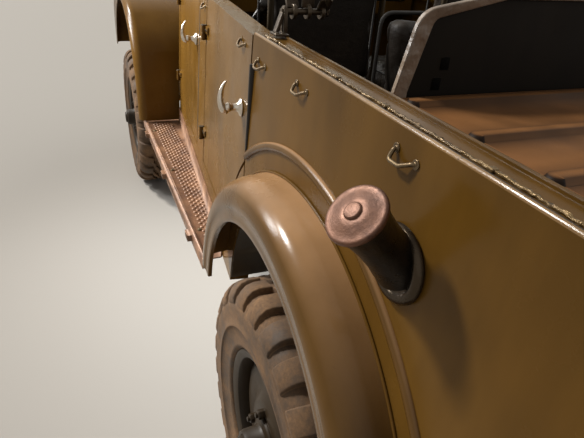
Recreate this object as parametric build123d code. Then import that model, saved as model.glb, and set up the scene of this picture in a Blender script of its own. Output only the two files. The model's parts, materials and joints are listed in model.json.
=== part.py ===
from build123d import *
import os
from math import cos, pi, radians, sin, sqrt, tan

# Light four-wheel-drive field car with four doors and an open top, in millimetres.
# +X is forward, +Y is left, +Z is up, and the origin is on the ground under the middle.

# Overall sizes
LENGTH = 3850.0
REAR_AXLE_X = -1025.0
WHEELBASE = 2300.0
TRACK = 1440.0
FRONT_AXLE_X = REAR_AXLE_X + WHEELBASE
NOSE_X = LENGTH / 2
TAIL_X = -LENGTH / 2

# Wheels and tyres
TYRE_R = 372.0
TYRE_HALF_W = 88.0
WHEEL_Z = TYRE_R
WHEEL_Y = TRACK / 2
HUB_TIP_Y = 838.0
STUB_R = 22.0
STUB_FIT = 0.05
RIM_R = 214.0

# Body sides: they lean out towards the sill and draw in towards the cowl from the kink line
BODY_HALF_W = 715.0
RAIL_Z = 1183.0
KINK_X = -672.0
TUMBLEHOME = 2.5
TAPER = 5.0
BODY_REAR_X = -1895.0
BODY_CORNER_R = 95.0
SKIN = 4.0
RAIL_W = 60.0
RAIL_LIP = 6.0
SILL_TOP_Z = 632.0
SILL_BOTTOM_Z = 511.0
QUARTER_BOTTOM_Z = 560.0
FLOOR_Z = 600.0
PLATE = 4.0
PLATFORM_Z = 736.0
FIT = 0.3

# Doors, as stations along the side
DOOR_THICK = 52.0
DOOR_BOTTOM_Z = 640.0
DOOR_GAP = 8.0
REAR_DOOR_FRONT_X = -40.0
FRONT_DOOR_REAR_X = 130.0
FRONT_DOOR_FRONT_X = 740.0
HINGE_OUT = 9.0
HINGE_R = 8.0
HINGE_PIN_R = 4.0
HINGE_FIT = 0.05
HINGE_LEN = 44.0
HANDLE_BACK = 62.0
HANDLE_Z = 1010.0
HANDLE_OUT = 44.0
HANDLE_CURL_R = 30.0
HANDLE_WIRE_R = 7.0

# Rear wheel arches and fenders share one centre
ARCH_X = -1006.0
ARCH_Z = 500.0
WHEELHOUSE_R = 400.0
WHEELHOUSE_IN_Y = 597.0
FENDER_WELT_R = 481.0
FENDER_RIDGE_R = 428.0
FENDER_OPEN_R = 384.0
FENDER_REACH = 96.0
FENDER_OUT_Y = BODY_HALF_W + FENDER_REACH
FENDER_ROOT_Y = BODY_HALF_W - 25.0
FENDER_TIP_DEG = 8.0
DOOR_ARCH_R = 525.0
BEAD_R = 531.0
BEAD_TUBE = 7.0

# Front fenders
FRONT_ARCH_X = FRONT_AXLE_X
FRONT_ARCH_Z = 531.0
FRONT_OPEN_R = 472.0
FRONT_CROWN_R = 504.0
FRONT_CROWN_ROUND = 42.0
FRONT_FENDER_IN_Y = 430.0
FRONT_TIP_X = 1800.0
FRONT_TIP_Z = 690.0

# Running boards
BOARD_Z = 510.0
BOARD_OUT_Y = 788.0
BOARD_FRONT_X = 806.0
BOARD_REAR_X = -470.0
BOARD_EDGE = 34.0
BOARD_LIP = 8.0
BOARD_UPSTAND = 70.0
BRACKETS_X = (-300.0, 180.0, 640.0)
BRACKET_W = 40.0

# Cowl, hood and windshield
COWL_X = 804.0
SCUTTLE_X = 640.0
SCUTTLE_Z = 1213.0
HOOD_REAR_X = 810.0
HOOD_FRONT_X = 1812.0
HOOD_REAR_HALF = 552.0
HOOD_FRONT_HALF = 428.0
HOOD_REAR_TOP = 1214.0
HOOD_FRONT_TOP = 1112.0
HOOD_REAR_EDGE = 1066.0
HOOD_FRONT_EDGE = 1040.0
HOOD_SHOULDER_R = 50.0
HOOD_HINGE_X = 807.0
HOOD_HINGE_Z = 1224.0
HOOD_HINGE_Y = 300.0
GLASS_HINGE_X = 700.0
GLASS_HINGE_Z = 1250.0
GLASS_FOOT = 30.0
GLASS_RAKE = 12.0
GLASS_H = 470.0
GLASS_HALF = 560.0
GLASS_FRAME = 32.0
GLASS_THICK = 28.0
GLASS_CORNER_R = 52.0
GLASS_PIN_R = 6.0
GLASS_STANDS_Y = (-470.0, 470.0)
PANE_T = 6.0

# Chassis
RAIL_Y = 385.0
FRAME_W = 60.0
FRAME_REAR_X = -1875.0
FRAME_FRONT_X = 1834.0
FRAME_BOTTOM_Z = 500.0
CROSS_Z = 508.0
CROSS_TOP_Z = 556.0
CROSS_X = (-1860.0, -1380.0, -560.0, 120.0, 895.0, 1680.0, 1815.0)
FRAME_TOP_Z = 590.0
SPRING_W = 60.0
SPRING_LEAF = 9.0
AXLE_TUBE_R = 38.0
KINGPIN_Y = 600.0
KINGPIN_R = 12.0
KINGPIN_FIT = 0.06
BALL_R = 66.0
CUP_IN_R = 72.0
CUP_OUT_R = 84.0
ARM_BACK = 190.0
ARM_Y = KINGPIN_Y
ARM_DROP = 66.0
ARM_Z = WHEEL_Z - ARM_DROP
ARM_PIN_R = 8.0

# Steering column, from the wheel's middle to the foot ahead of the firewall
STEER_CENTRE = (330.0, 330.0, 1120.0)
STEER_FOOT = (860.0, 330.0, 795.0)
PEDALS_Y = (190.0, 265.0, 410.0)

# Load deck and seat back
DECK_Z = 1110.0
DECK_FRONT_X = -905.0
RIB_W = 36.0
RIB_H = 9.0
RIB_HALF = 505.0
RIBS_X = (-948.0, -1127.0, -1286.0, -1445.0, -1604.0, -1763.0)
SEAT_BACK_X = -897.0
SEAT_BACK_FLANGE = 30.0

# Front seats
SEATS_Y = (-310.0, 310.0)
SEAT_FRAME_Z = 787.0
SEAT_FRAME_R = 12.0
SEAT_BACK_TUBE_X = -174.0
SEAT_BACK_TUBE_R = 10.0

# Tailgate and its opening in the rear wall
GATE_HALF = 450.0
GATE_BOTTOM_Z = 716.0
GATE_THICK = 26.0
GATE_GAP = 6.0
GATE_HINGE_X = -1904.0
GATE_HINGE_Z = 716.0
GATE_HINGES_Y = (-300.0, 300.0)

# Folding top: radius of each bow about the bracket pins, half width and rest angle from rearward
TOP_PIN_X = -690.0
TOP_PIN_Z = 1232.0
TOP_CHEEK_Y = 652.0
BOW_R = 12.0
BOW_EYE_R = 20.0
BOW_EYE_W = 14.0
BOW_PIN_R = 8.0
BOWS = (
    # name, radius, half width, rest angle
    ("front", 860.0, 632.0, 128.0),
    ("main", 700.0, 600.0, 92.0),
    ("rear", 560.0, 568.0, 50.0),
)


def box(x0, x1, y0, y1, z0, z1):
    """A block between two corners."""
    return Pos((x0 + x1) / 2, (y0 + y1) / 2, (z0 + z1) / 2) * Box(x1 - x0, y1 - y0, z1 - z0)


def rod(start, end, radius):
    """A round bar between two points."""
    axis = Vector(*end) - Vector(*start)
    return extrude(Plane(origin=start, z_dir=axis) * Circle(radius), amount=axis.length)


def poly(*points):
    """A face from its corner points."""
    return make_face(Polyline(*points, close=True))


def slab_y(face, y0, y1):
    """A side-view face (X, Z) extruded between two Y values."""
    return extrude(Plane.XZ.offset(-y1) * face, amount=y1 - y0)


def slab_x(face, x0, x1):
    """A front-view face (Y, Z) extruded between two X values."""
    return extrude(Plane.YZ.offset(x0) * face, amount=x1 - x0)


def slab_z(face, z0, z1):
    """A plan face (X, Y) extruded between two Z values."""
    return extrude(Plane.XY.offset(z0) * face, amount=z1 - z0)


def mirrored(shape):
    """The same piece on the right-hand side."""
    return mirror(shape, about=Plane.XZ)


def save(node, *shapes):
    """Write the solids of one node."""
    solids = [solid for shape in shapes for solid in shape.solids()]
    export_step(Compound(children=solids) if len(solids) > 1 else solids[0], f"parts/{node}.step")


def side_plane(taper):
    """The outer surface of the left side, with local x to the rear and local y up."""
    a = radians(taper)
    t = radians(TUMBLEHOME)
    return Plane(
        origin=(KINK_X, BODY_HALF_W, RAIL_Z),
        x_dir=(-cos(a), sin(a), 0),
        z_dir=(sin(a) * cos(t), cos(a) * cos(t), sin(t)),
    )


QUARTER = side_plane(0)
DOOR = side_plane(TAPER)


def flat(x, z):
    """Local place on a side plane of a station along the car and a height."""
    return (KINK_X - x, z - RAIL_Z)


def on_side(plane, face, depth_in, depth_out=0.0):
    """A face drawn on a side plane, from depth_in inside it to depth_out outside it."""
    return extrude(plane.offset(-depth_in) * face, amount=depth_in + depth_out)


def side_point(plane, x, z, out=0.0):
    """World place of a station and height on a side plane."""
    u, v = flat(x, z)
    return plane.from_local_coords((u, v, out))


def inside_of_body(clear=0.0):
    """The room within both side planes on the left, grown by a clearance."""
    span = 5000.0
    blocks = [plane.offset(clear - span) * extrude(Rectangle(span, span), amount=span)
              for plane in (QUARTER, DOOR)]
    return blocks[0] & blocks[1]


def arch_disc(radius):
    """A disc about the rear arch centre, drawn on a side plane."""
    return Pos(*flat(ARCH_X, ARCH_Z)) * Circle(radius)


def body_outline(inset, front_x=KINK_X):
    """Half widths of the rear body in plan, at the rail and at the sill."""
    faces = []
    for z in (RAIL_Z + 20, SILL_BOTTOM_Z):
        half = BODY_HALF_W + (RAIL_Z - z) * tan(radians(TUMBLEHOME)) - inset
        rear = BODY_REAR_X + inset
        front = front_x + 300
        face = Pos((front + rear) / 2, 0) * RectangleRounded(front - rear, 2 * half, BODY_CORNER_R - inset)
        faces.append(Plane.XY.offset(z) * face)
    return loft(faces)


# Rear body: sides, rounded corners and rear wall with a rail on top
def quarter_panels():
    """Both rear quarters, joined under the tailgate."""
    shell = body_outline(0) - body_outline(SKIN)
    front = KINK_X - DOOR_GAP / 2
    shell = shell & box(TAIL_X, front, -900, 900, QUARTER_BOTTOM_Z, RAIL_Z - PLATE)
    rail_plan = body_outline(0) - body_outline(RAIL_W)
    rail = rail_plan & box(TAIL_X, front, -900, 900, RAIL_Z - PLATE, RAIL_Z)
    over_rail = box(TAIL_X, front, -900, 900, RAIL_Z, RAIL_Z + 5)
    outer_lip = (body_outline(0) - body_outline(RAIL_LIP)) & over_rail
    inner_lip = (body_outline(RAIL_W - RAIL_LIP) - body_outline(RAIL_W)) & box(
        TAIL_X, front, -900, 900, RAIL_Z - 40, RAIL_Z + 5)
    body = shell + rail + outer_lip + inner_lip
    gate = box(TAIL_X, BODY_REAR_X + RAIL_W + 20, -GATE_HALF, GATE_HALF, GATE_BOTTOM_Z, RAIL_Z + 20)
    body -= gate
    for side in (1, -1):
        body -= side_cut(side)
        body += arch_bead(side)
    return body + gate_knuckles()


def side_cut(side):
    """The wheel opening through one quarter."""
    cut = on_side(QUARTER, arch_disc(WHEELHOUSE_R + SKIN), 120, 60)
    return cut if side > 0 else mirrored(cut)


def arch_bead(side):
    """The raised bead pressed round the wheel arch."""
    bead = QUARTER * (Pos(*flat(ARCH_X, ARCH_Z), 0) * Torus(BEAD_R, BEAD_TUBE))
    keep = box(ARCH_X - 130, KINK_X - DOOR_GAP / 2 - 6, 600, 900, ARCH_Z + 100, RAIL_Z - 60)
    bead = (bead & keep) - inside_of_body(-SKIN / 2)
    return bead if side > 0 else mirrored(bead)


def wheelhouses():
    """Inner wheel arches with flat inner walls."""
    ring = Circle(WHEELHOUSE_R + SKIN) - Circle(WHEELHOUSE_R)
    tub = slab_y(Pos(ARCH_X, ARCH_Z) * ring, WHEELHOUSE_IN_Y, 760)
    wall = Pos(ARCH_X, ARCH_Z) * Circle(WHEELHOUSE_R + SKIN)
    tub += slab_y(wall, WHEELHOUSE_IN_Y, WHEELHOUSE_IN_Y + SKIN)
    tub &= box(ARCH_X - 500, ARCH_X + 500, 500, 900, ARCH_Z + 30, RAIL_Z)
    return tub & inside_of_body(0)


# Fenders, running boards and sills
def rear_fender():
    """Crowned fender with a turned-down outer skirt, swept round the arch centre."""
    t = SKIN
    y, w, r, o = FENDER_OUT_Y, FENDER_WELT_R, FENDER_RIDGE_R, FENDER_OPEN_R
    knee = (738, w - 4)
    crown = (790, w - 20)
    outline = [
        Line((FENDER_ROOT_Y, w), knee),
        ThreePointArc(knee, crown, (y, r)),
        Line((y, r), (y, o)),
        Line((y, o), (y - 14, o)),
        Line((y - 14, o), (y - 14, o + t)),
        Line((y - 14, o + t), (y - t, o + t)),
        Line((y - t, o + t), (y - t, r)),
        ThreePointArc((y - t, r), (crown[0] - 3, crown[1] - 3), (knee[0], knee[1] - t)),
        Line((knee[0], knee[1] - t), (FENDER_ROOT_Y, w - t)),
        Line((FENDER_ROOT_Y, w - t), (FENDER_ROOT_Y, w)),
    ]
    tip = radians(-FENDER_TIP_DEG)
    start = Plane(origin=(ARCH_X, 0, ARCH_Z), x_dir=(0, 1, 0), z_dir=(sin(tip), 0, -cos(tip)))
    turn = Axis((ARCH_X, 0, ARCH_Z), (0, -1, 0))
    fender = revolve(start * make_face(outline), turn, 180 + 2 * FENDER_TIP_DEG)
    return fender - inside_of_body(FIT)


def front_fender():
    """High fender: round over the wheel, flat towards the nose, open to the wheel."""
    def profile(inset):
        cx, cz, r = FRONT_ARCH_X, FRONT_ARCH_Z, FRONT_CROWN_R - inset
        flat_run, nose_run, nose_drop = 60, 190, 28
        top_x = cx + flat_run
        nose_top = (FRONT_TIP_X - nose_run, cz + r - nose_drop)
        edge = [
            Line((cx - r, BOARD_Z), (cx - r, cz)),
            ThreePointArc((cx - r, cz), (cx - r * sqrt(0.5), cz + r * sqrt(0.5)), (cx, cz + r)),
            Line((cx, cz + r), (top_x, cz + r)),
            Line((top_x, cz + r), nose_top),
            ThreePointArc(nose_top, (FRONT_TIP_X - 55 - inset * 0.7, cz + r - 95),
                          (FRONT_TIP_X - inset, FRONT_TIP_Z + 140)),
            Line((FRONT_TIP_X - inset, FRONT_TIP_Z + 140), (FRONT_TIP_X - inset, BOARD_Z)),
            Line((FRONT_TIP_X - inset, BOARD_Z), (cx - r, BOARD_Z)),
        ]
        return make_face(edge)

    def block(inset):
        return slab_y(profile(inset), FRONT_FENDER_IN_Y + inset, FENDER_OUT_Y - inset)

    outer = block(0)
    outer = fillet(crown_edges(outer, FENDER_OUT_Y), FRONT_CROWN_ROUND)
    inner = block(SKIN)
    inner = fillet(crown_edges(inner, FENDER_OUT_Y - SKIN), FRONT_CROWN_ROUND - SKIN)
    rear_x, nose_x = FRONT_ARCH_X - FRONT_CROWN_R - 96, FRONT_TIP_X + 50
    side_in, side_out = 700, FENDER_OUT_Y + 39
    fender = outer - inner
    fender -= box(rear_x, nose_x, 400, side_out, BOARD_Z - 50, BOARD_Z + SKIN + 1)
    fender -= slab_y(Pos(FRONT_ARCH_X, FRONT_ARCH_Z) * Circle(FRONT_OPEN_R), side_in, side_out)
    reach = FRONT_OPEN_R
    fender -= box(FRONT_ARCH_X - reach, FRONT_ARCH_X + reach, side_in, side_out, 400, FRONT_ARCH_Z)
    fender -= box(FRONT_ARCH_X + reach - 60, nose_x, 400, side_out, 400, FRONT_TIP_Z)
    fender -= inside_of_body(FIT) & box(0, COWL_X + FIT, 0, 900, 0, 1300)
    return fender


def crown_edges(block, out_y):
    """The long outer edges of a fender block, above its foot."""
    return [edge for edge in block.edges()
            if abs(edge.center().Y - out_y) < 1 and edge.center().Z > BOARD_Z + 5]


def running_board():
    """Pressed step with a turned-down outer edge and an upstand to the sill."""
    inner = [side_point(DOOR, x, BOARD_Z, 4) for x in (BOARD_REAR_X, BOARD_FRONT_X)]
    plan = poly(
        (BOARD_REAR_X, inner[0].Y),
        (BOARD_FRONT_X, inner[1].Y),
        (BOARD_FRONT_X, BOARD_OUT_Y),
        (BOARD_REAR_X, BOARD_OUT_Y),
    )
    board = slab_z(plan, BOARD_Z - SKIN, BOARD_Z)
    edge_z = BOARD_Z - BOARD_EDGE
    board += box(BOARD_REAR_X, BOARD_FRONT_X, BOARD_OUT_Y - SKIN, BOARD_OUT_Y, edge_z, BOARD_Z)
    lip_y = BOARD_OUT_Y - 2 * BOARD_LIP
    board += box(BOARD_REAR_X + 20, BOARD_FRONT_X - 20, lip_y, lip_y + BOARD_LIP, BOARD_Z, BOARD_Z + 3)
    stop_x = FRONT_ARCH_X - FRONT_CROWN_R - 12
    low, high = BOARD_Z - SKIN, BOARD_Z + BOARD_UPSTAND
    upstand = poly(flat(BOARD_REAR_X, low), flat(stop_x, low), flat(stop_x, high), flat(BOARD_REAR_X, high))
    board += on_side(DOOR, upstand, -FIT, 5)
    for x in BRACKETS_X:
        arm_y = RAIL_Y + FRAME_W / 2 + FIT
        arm_top = BOARD_Z - SKIN - FIT / 3
        half = BRACKET_W / 2
        board += box(x - half, x + half, arm_y, BOARD_OUT_Y + 14, BOARD_Z - 26, arm_top)
    return board


def door_posts():
    """Centre post, sill and rear door shut face of one side."""
    arch_cut = arch_disc(WHEELHOUSE_R + SKIN + DOOR_GAP)
    post_rear, post_front = REAR_DOOR_FRONT_X + DOOR_GAP, FRONT_DOOR_REAR_X - DOOR_GAP
    post = poly(flat(post_rear, SILL_BOTTOM_Z), flat(post_front, SILL_BOTTOM_Z),
                flat(post_front, RAIL_Z), flat(post_rear, RAIL_Z))
    sill = poly(flat(-640, SILL_BOTTOM_Z), flat(FRONT_DOOR_FRONT_X + 12, SILL_BOTTOM_Z),
                flat(FRONT_DOOR_FRONT_X + 12, SILL_TOP_Z), flat(-640, SILL_TOP_Z))
    dogleg = arch_disc(DOOR_ARCH_R - DOOR_GAP) & poly(
        flat(KINK_X, SILL_BOTTOM_Z), flat(-400, SILL_BOTTOM_Z), flat(-400, RAIL_Z), flat(KINK_X, RAIL_Z))
    skin = on_side(DOOR, (sill + dogleg) - arch_cut, DOOR_THICK)
    skin += on_side(DOOR, post, DOOR_THICK)
    return skin


# Doors
def door_outline(front_x, rear_x, arch):
    """Outline of a door on the side plane, with its arch cut if it has one."""
    low = DOOR_BOTTOM_Z
    face = poly(flat(front_x, low), flat(front_x, RAIL_Z), flat(rear_x, RAIL_Z), flat(rear_x, low))
    return face - arch_disc(DOOR_ARCH_R) if arch else face


def door(front_x, rear_x, arch):
    """A door: outer skin with a flange all round, its inner pocket and its hinge leaves."""
    face = door_outline(front_x, rear_x, arch)
    leaf = on_side(DOOR, face, DOOR_THICK)
    inner = poly(flat(front_x - 60, DOOR_BOTTOM_Z + 60), flat(front_x - 60, RAIL_Z - 70),
                 flat(rear_x + 70, RAIL_Z - 70), flat(rear_x + 70, DOOR_BOTTOM_Z + 60))
    if arch:
        inner -= arch_disc(DOOR_ARCH_R + 60)
    pocket = plane_slab(DOOR, inner, -DOOR_THICK - 1, -DOOR_THICK + 22)
    leaf -= pocket
    for z in hinge_heights():
        leaf += hinge_leaf(front_x, z)
    return leaf


def plane_slab(plane, face, low, high):
    """A face on a side plane between two distances from it."""
    return extrude(plane.offset(low) * face, amount=high - low)


def hinge_heights():
    """Heights of the middle of each outside hinge."""
    return (DOOR_BOTTOM_Z + 100, RAIL_Z - 110)


def hinge_line(front_x, z0, z1):
    """Two points on the hinge axis of a door."""
    x = front_x + DOOR_GAP / 2
    return side_point(DOOR, x, z0, HINGE_OUT), side_point(DOOR, x, z1, HINGE_OUT)


def hinge_leaf(front_x, z):
    """The door's half of a hinge: a strap and an upper barrel."""
    low, high = hinge_line(front_x, z + 1, z + HINGE_LEN / 2)
    mid, end, top = front_x + DOOR_GAP / 2, front_x - 46, z + HINGE_LEN / 2
    leaf = poly(flat(mid, z + 1), flat(mid, top), flat(end, top), flat(end, z + 1))
    strap = plane_slab(DOOR, leaf, -0.5, 5)
    barrel = rod(tuple(low), tuple(high), HINGE_R)
    bore = rod(tuple(low), tuple(high), HINGE_PIN_R + HINGE_FIT)
    return (strap + barrel) - bore


def hinge_knuckle(front_x, z):
    """The body's half of a hinge: a strap, a lower barrel and the pin."""
    low, high = hinge_line(front_x, z - HINGE_LEN / 2, z - 1)
    tip = hinge_line(front_x, z - HINGE_LEN / 2, z + HINGE_LEN / 2)[1]
    mid = front_x + DOOR_GAP / 2
    strap = plane_slab(DOOR, poly(flat(mid, z - HINGE_LEN / 2), flat(mid, z - 1),
                                  flat(mid + 34, z - 1), flat(mid + 34, z - HINGE_LEN / 2)), -1, 5)
    return strap + rod(tuple(low), tuple(high), HINGE_R) + rod(tuple(low), tuple(tip), HINGE_PIN_R)


def handle(rear_x):
    """A curled lever on a round rose near the door's free edge."""
    x, z = rear_x + HANDLE_BACK, HANDLE_Z
    root = side_point(DOOR, x, z, FIT)
    foot = side_point(DOOR, x, z, 8)
    neck = side_point(DOOR, x, z, HANDLE_OUT)
    rose = rod(tuple(root), tuple(foot), 20)
    stem = rod(tuple(foot), tuple(neck), 8)
    u, v = flat(x, z)
    r = HANDLE_CURL_R
    middle = (u - r * cos(pi / 6), v + r * sin(pi / 6))
    curl = DOOR.offset(HANDLE_OUT) * CenterArc(middle, r, -30, -240)
    section = Plane(origin=curl @ 0, z_dir=curl % 0) * Circle(HANDLE_WIRE_R)
    lever = sweep(section, path=curl)
    return rose + stem + Pos(*neck) * Sphere(8) + lever


# Cowl, hood and windshield
def cowl():
    """Firewall, scuttle top, cowl sides and dashboard."""
    half_top = side_point(DOOR, COWL_X, SCUTTLE_Z).Y - FIT
    half_low = side_point(DOOR, COWL_X, FLOOR_Z).Y - FIT
    wall = poly((-half_low, FLOOR_Z), (half_low, FLOOR_Z), (half_top, SCUTTLE_Z), (-half_top, SCUTTLE_Z))
    shell = slab_x(wall, COWL_X - PLATE, COWL_X)
    shell -= rod(STEER_CENTRE, STEER_FOOT, 22 + FIT)
    post = poly(flat(FRONT_DOOR_FRONT_X + DOOR_GAP, SILL_TOP_Z + 2), flat(COWL_X + 20, SILL_TOP_Z + 2),
                flat(COWL_X + 20, SCUTTLE_Z), flat(FRONT_DOOR_FRONT_X + DOOR_GAP, SCUTTLE_Z))
    side = plane_slab(DOOR, post, -DOOR_THICK, 0) & box(0, COWL_X, 0, 900, 0, 1400)
    rear_y = side_point(DOOR, SCUTTLE_X, SCUTTLE_Z).Y - DOOR_THICK - 8
    front_y = side_point(DOOR, COWL_X, SCUTTLE_Z).Y - DOOR_THICK + 6
    top = slab_z(poly((SCUTTLE_X, -rear_y), (COWL_X, -front_y), (COWL_X, front_y), (SCUTTLE_X, rear_y)),
                 SCUTTLE_Z - PLATE, SCUTTLE_Z)
    dash = slab_x(poly((-rear_y, 1040), (rear_y, 1040), (rear_y, SCUTTLE_Z), (-rear_y, SCUTTLE_Z)),
                  SCUTTLE_X, SCUTTLE_X + PLATE)
    dials = rod((SCUTTLE_X - 3, 330, 1150), (SCUTTLE_X + 30, 330, 1150), 52)
    body = shell + side + mirrored(side) + top + dash
    for y in (-HOOD_HINGE_Y, HOOD_HINGE_Y):
        body += box(HOOD_HINGE_X - 50, HOOD_HINGE_X, y - 30, y - 1, SCUTTLE_Z, SCUTTLE_Z + 8)
        body += rod((HOOD_HINGE_X, y - 30, HOOD_HINGE_Z), (HOOD_HINGE_X, y - 1, HOOD_HINGE_Z), 7)
        body += rod((HOOD_HINGE_X, y - 30, HOOD_HINGE_Z), (HOOD_HINGE_X, y + 30, HOOD_HINGE_Z), 3)
    return body + dials


def hood():
    """Tapered alligator hood with rounded shoulders, hollow underneath."""
    def section(x, half, top, edge, inset):
        half, top, r = half - inset, top - inset, HOOD_SHOULDER_R - inset
        brow = top - 14
        k = r * (1 - sqrt(0.5))
        outline = [
            Line((-half, edge), (-half, brow - r)),
            ThreePointArc((-half, brow - r), (-half + k, brow - k), (-half + r, brow)),
            ThreePointArc((-half + r, brow), (0, top), (half - r, brow)),
            ThreePointArc((half - r, brow), (half - k, brow - k), (half, brow - r)),
            Line((half, brow - r), (half, edge)),
            Line((half, edge), (-half, edge)),
        ]
        return Plane.YZ.offset(x) * make_face(outline)

    outer = loft([section(HOOD_REAR_X, HOOD_REAR_HALF, HOOD_REAR_TOP, HOOD_REAR_EDGE, 0),
                  section(HOOD_FRONT_X, HOOD_FRONT_HALF, HOOD_FRONT_TOP, HOOD_FRONT_EDGE, 0)])
    inner = loft([section(HOOD_REAR_X - 1, HOOD_REAR_HALF, HOOD_REAR_TOP, HOOD_REAR_EDGE - 2, SKIN),
                  section(HOOD_FRONT_X + 1, HOOD_FRONT_HALF, HOOD_FRONT_TOP, HOOD_FRONT_EDGE - 2, SKIN)])
    lid = outer - inner
    for y in (-HOOD_HINGE_Y, HOOD_HINGE_Y):
        strap = box(HOOD_HINGE_X, HOOD_HINGE_X + 60, y + 1, y + 30, HOOD_REAR_TOP - 22, HOOD_HINGE_Z - 3)
        barrel = rod((HOOD_HINGE_X, y + 1, HOOD_HINGE_Z), (HOOD_HINGE_X, y + 30, HOOD_HINGE_Z), 7)
        bore = rod((HOOD_HINGE_X, y, HOOD_HINGE_Z), (HOOD_HINGE_X, y + 31, HOOD_HINGE_Z), 3 + HINGE_FIT)
        lid = lid + strap + barrel - bore
    return lid


def glass_plane():
    """Middle plane of the windshield, local x to the left and local y up the frame."""
    r = radians(GLASS_RAKE)
    return Plane(origin=(GLASS_HINGE_X, 0, GLASS_HINGE_Z), x_dir=(0, 1, 0), z_dir=(cos(r), 0, sin(r)))


def windshield_outline(inset, low=-GLASS_FOOT):
    """Tapered frame outline with rounded upper corners."""
    b, t, h = GLASS_HALF - inset, GLASS_HALF - 22 - inset, GLASS_H - inset
    z0 = low + inset
    face = poly((-b, z0), (b, z0), (t, h), (-t, h))
    return fillet(face.vertices().group_by(Axis.Y)[-1], max(6.0, GLASS_CORNER_R - inset))


def windshield_frame():
    """Frame with a centre bar, a foot tube and its hinge lugs."""
    opening = windshield_outline(GLASS_FRAME, 24.0) - Rectangle(GLASS_FRAME, 3 * GLASS_H)
    plane = glass_plane()
    leaf = extrude(plane.offset(-GLASS_THICK / 2) * (windshield_outline(0) - opening), amount=GLASS_THICK)
    x, z = GLASS_HINGE_X, GLASS_HINGE_Z
    for y in GLASS_STANDS_Y:
        notch = Pos(y, 0) * Rectangle(124, 2 * GLASS_FOOT + 2)
        leaf -= extrude(plane.offset(-GLASS_THICK) * notch, amount=2 * GLASS_THICK)
        lug = extrude(plane.offset(-6) * (Pos(y, 18) * Rectangle(56, 32)), amount=12)
        barrel = rod((x, y - 28, z), (x, y + 28, z), 11)
        bore = rod((x, y - 31, z), (x, y + 31, z), GLASS_PIN_R + HINGE_FIT)
        leaf = leaf + lug + barrel - bore
    return leaf


def windshield_glass():
    """Two flat panes."""
    panes = windshield_outline(GLASS_FRAME + FIT, 24.0) - Rectangle(GLASS_FRAME + 2 * FIT, 3 * GLASS_H)
    return extrude(glass_plane().offset(-PANE_T / 2) * panes, amount=PANE_T)


def windshield_hinges():
    """Pins and stands on the scuttle that carry the windshield."""
    stands = []
    x, z = GLASS_HINGE_X, GLASS_HINGE_Z
    for y in GLASS_STANDS_Y:
        stand = rod((x, y - 52, z), (x, y + 52, z), GLASS_PIN_R)
        for ear_y in (y - 42, y + 42):
            stand += box(x - 12, x + 12, ear_y - 9, ear_y + 9, SCUTTLE_Z, z + 10)
        stands.append(stand)
    return stands


# Nose
def grille_panel():
    """Flat nose panel with upright slots and two lamp openings."""
    half = HOOD_FRONT_HALF - 10
    foot, top = FRAME_TOP_Z + FIT, 1086.0
    face = poly((-half, foot), (half, foot), (half, top), (-half, top))
    face = fillet(face.vertices().group_by(Axis.Y)[-1], 52)
    slots = [Pos(x, 850) * SlotOverall(320, 26, rotation=90) for x in range(-176, 177, 44)]
    lamps = [Pos(y, 905) * Circle(98) for y in (-308, 308)]
    for hole in slots + lamps:
        face -= hole
    lip = slab_x(Pos(0, foot + 8) * Rectangle(2 * half, 16), 1770, 1802)
    return slab_x(face, 1796, 1802) + lip


def head_lamp(y):
    """Round lamp with a rim and a domed lens, on a bowl behind the panel."""
    back = 1728.3
    outline = [
        Line((0, 0), (60, 0)),
        Line((60, 0), (94, 58)),
        Line((94, 58), (94, 74)),
        Line((94, 74), (104, 74)),
        Line((104, 74), (104, 84)),
        Line((104, 84), (92, 92)),
        ThreePointArc((92, 92), (54, 110), (14, 117)),
        Line((14, 117), (0, 117)),
        Line((0, 117), (0, 0)),
    ]
    plane = Plane(origin=(back, y, 905), x_dir=(0, 1, 0), z_dir=(0, 0, -1))
    return revolve(plane * make_face(outline), Axis((back, y, 905), (1, 0, 0)), 360)


def tail_lamp(side):
    """Small round lamp on the rear corner."""
    y = side * 560
    return rod((BODY_REAR_X - FIT, y, 1000), (BODY_REAR_X - 24, y, 1000), 38)


def bumpers():
    """Front channel bar on two horns, and two short rear bars."""
    bar = box(NOSE_X - 34, NOSE_X, -700, 700, 520, 640) - box(NOSE_X - 40, NOSE_X - 5, -760, 760, 526, 634)
    horns = [box(FRAME_FRONT_X + FIT, NOSE_X - 5, y - 26, y + 26, 530, 586) for y in (-RAIL_Y, RAIL_Y)]
    front = bar + horns[0] + horns[1]
    rears = []
    for side in (1, -1):
        y = side * RAIL_Y
        rear = box(TAIL_X, TAIL_X + 12, y - 150, y + 150, 500, 580)
        rears.append(rear + box(TAIL_X, FRAME_REAR_X - FIT, y - 24, y + 24, 520, 556))
    return [front] + rears


# Chassis
def chassis_frame():
    """Two long side members with cross members and a rear tow eye."""
    frame = None
    for side in (1, -1):
        y = side * RAIL_Y
        half = FRAME_W / 2
        member = box(FRAME_REAR_X, FRAME_FRONT_X, y - half, y + half, FRAME_BOTTOM_Z, FRAME_TOP_Z)
        inside_y = y - side * 34
        hollow = box(FRAME_REAR_X - 1, FRAME_FRONT_X + 1, inside_y - half, inside_y + half,
                     FRAME_BOTTOM_Z + 6, FRAME_TOP_Z - 6)
        member -= hollow
        frame = member if frame is None else frame + member
    for x in CROSS_X:
        frame += box(x - 14, x + 14, -RAIL_Y, RAIL_Y, CROSS_Z, CROSS_TOP_Z)
    eye = box(-1922, -1874, -22, 22, 504, 552) - rod((-1898, 0, 480), (-1898, 0, 580), 16)
    return frame + eye


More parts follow.
